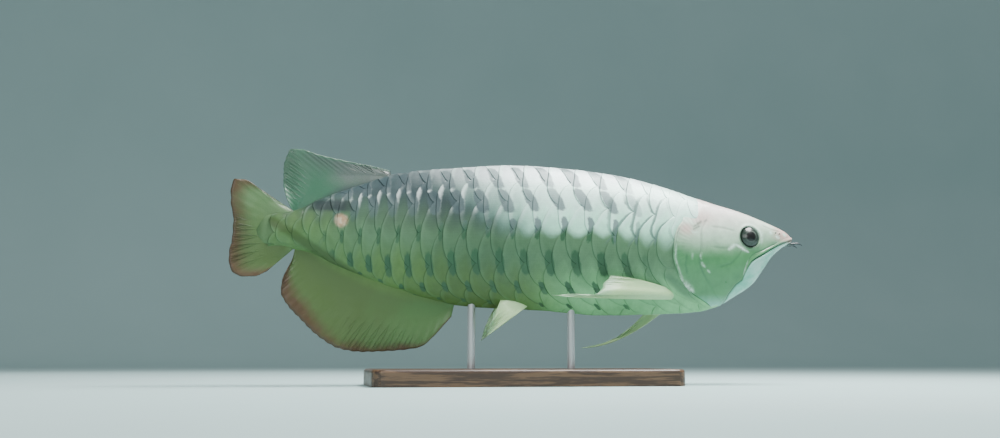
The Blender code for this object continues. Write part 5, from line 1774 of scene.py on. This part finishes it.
class AROWANA_OT_side_fins(bpy.types.Operator):
    """Build the pectoral and pelvic fins"""

    bl_idname = "arowana.side_fins"
    bl_label = "Paired fins"

    def execute(self, context):
        build_side_fins(context.scene.arowana_shape, context.scene.arowana_colours)
        return {"FINISHED"}


class AROWANA_OT_eyes(bpy.types.Operator):
    """Build the eyes"""

    bl_idname = "arowana.eyes"
    bl_label = "Eyes"

    def execute(self, context):
        build_eyes(context.scene.arowana_colours)
        return {"FINISHED"}


class AROWANA_OT_barbels(bpy.types.Operator):
    """Build the barbels"""

    bl_idname = "arowana.barbels"
    bl_label = "Barbels"

    def execute(self, context):
        build_barbels(context.scene.arowana_colours)
        return {"FINISHED"}


class AROWANA_OT_stand(bpy.types.Operator):
    """Finish the stand in wood and steel"""

    bl_idname = "arowana.stand"
    bl_label = "Stand"

    def execute(self, context):
        finish_stand(context.scene.arowana_colours)
        return {"FINISHED"}


class AROWANA_OT_studio(bpy.types.Operator):
    """Set up floor, lights and camera"""

    bl_idname = "arowana.studio"
    bl_label = "Studio"

    def execute(self, context):
        build_studio(context.scene.arowana_studio)
        return {"FINISHED"}


OPERATORS = (
    AROWANA_OT_skin, AROWANA_OT_scales, AROWANA_OT_middle_fins, AROWANA_OT_side_fins,
    AROWANA_OT_eyes, AROWANA_OT_barbels, AROWANA_OT_stand, AROWANA_OT_studio,
)
GROUPS = {"arowana_shape": ArowanaShape, "arowana_colours": ArowanaColours,
          "arowana_studio": ArowanaStudio}


class AROWANA_PT_panel(bpy.types.Panel):
    """Lists the pieces and their settings"""

    bl_idname = "AROWANA_PT_panel"
    bl_label = "Arowana"
    bl_space_type = "VIEW_3D"
    bl_region_type = "UI"
    bl_category = "Arowana"

    def draw(self, context):
        """Draw the settings and a button for each piece."""
        for name in ("arowana_shape", "arowana_studio", "arowana_colours"):
            settings = getattr(context.scene, name)
            box = self.layout.box()
            for label in settings.bl_rna.properties.keys():
                if label not in ("rna_type", "name"):
                    box.prop(settings, label)
        for operator in OPERATORS:
            self.layout.operator(operator.bl_idname)


def register():
    """Add the settings, operators and panel."""
    for cls in (*GROUPS.values(), *OPERATORS, AROWANA_PT_panel):
        bpy.utils.register_class(cls)
    for name, cls in GROUPS.items():
        setattr(bpy.types.Scene, name, bpy.props.PointerProperty(type=cls))


def unregister():
    """Take the settings, operators and panel away."""
    for name in GROUPS:
        delattr(bpy.types.Scene, name)
    for cls in (AROWANA_PT_panel, *reversed(OPERATORS), *reversed(list(GROUPS.values()))):
        bpy.utils.unregister_class(cls)


def main():
    """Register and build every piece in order."""
    register()
    markings_group(bpy.context.scene.arowana_colours)
    for make in (scale_edges_group, scale_marks_group, grain_group, scales_group, rays_group):
        make()
    for operator in OPERATORS:
        group, name = operator.bl_idname.split(".")
        getattr(getattr(bpy.ops, group), name)()


if __name__ == "__main__":
    main()
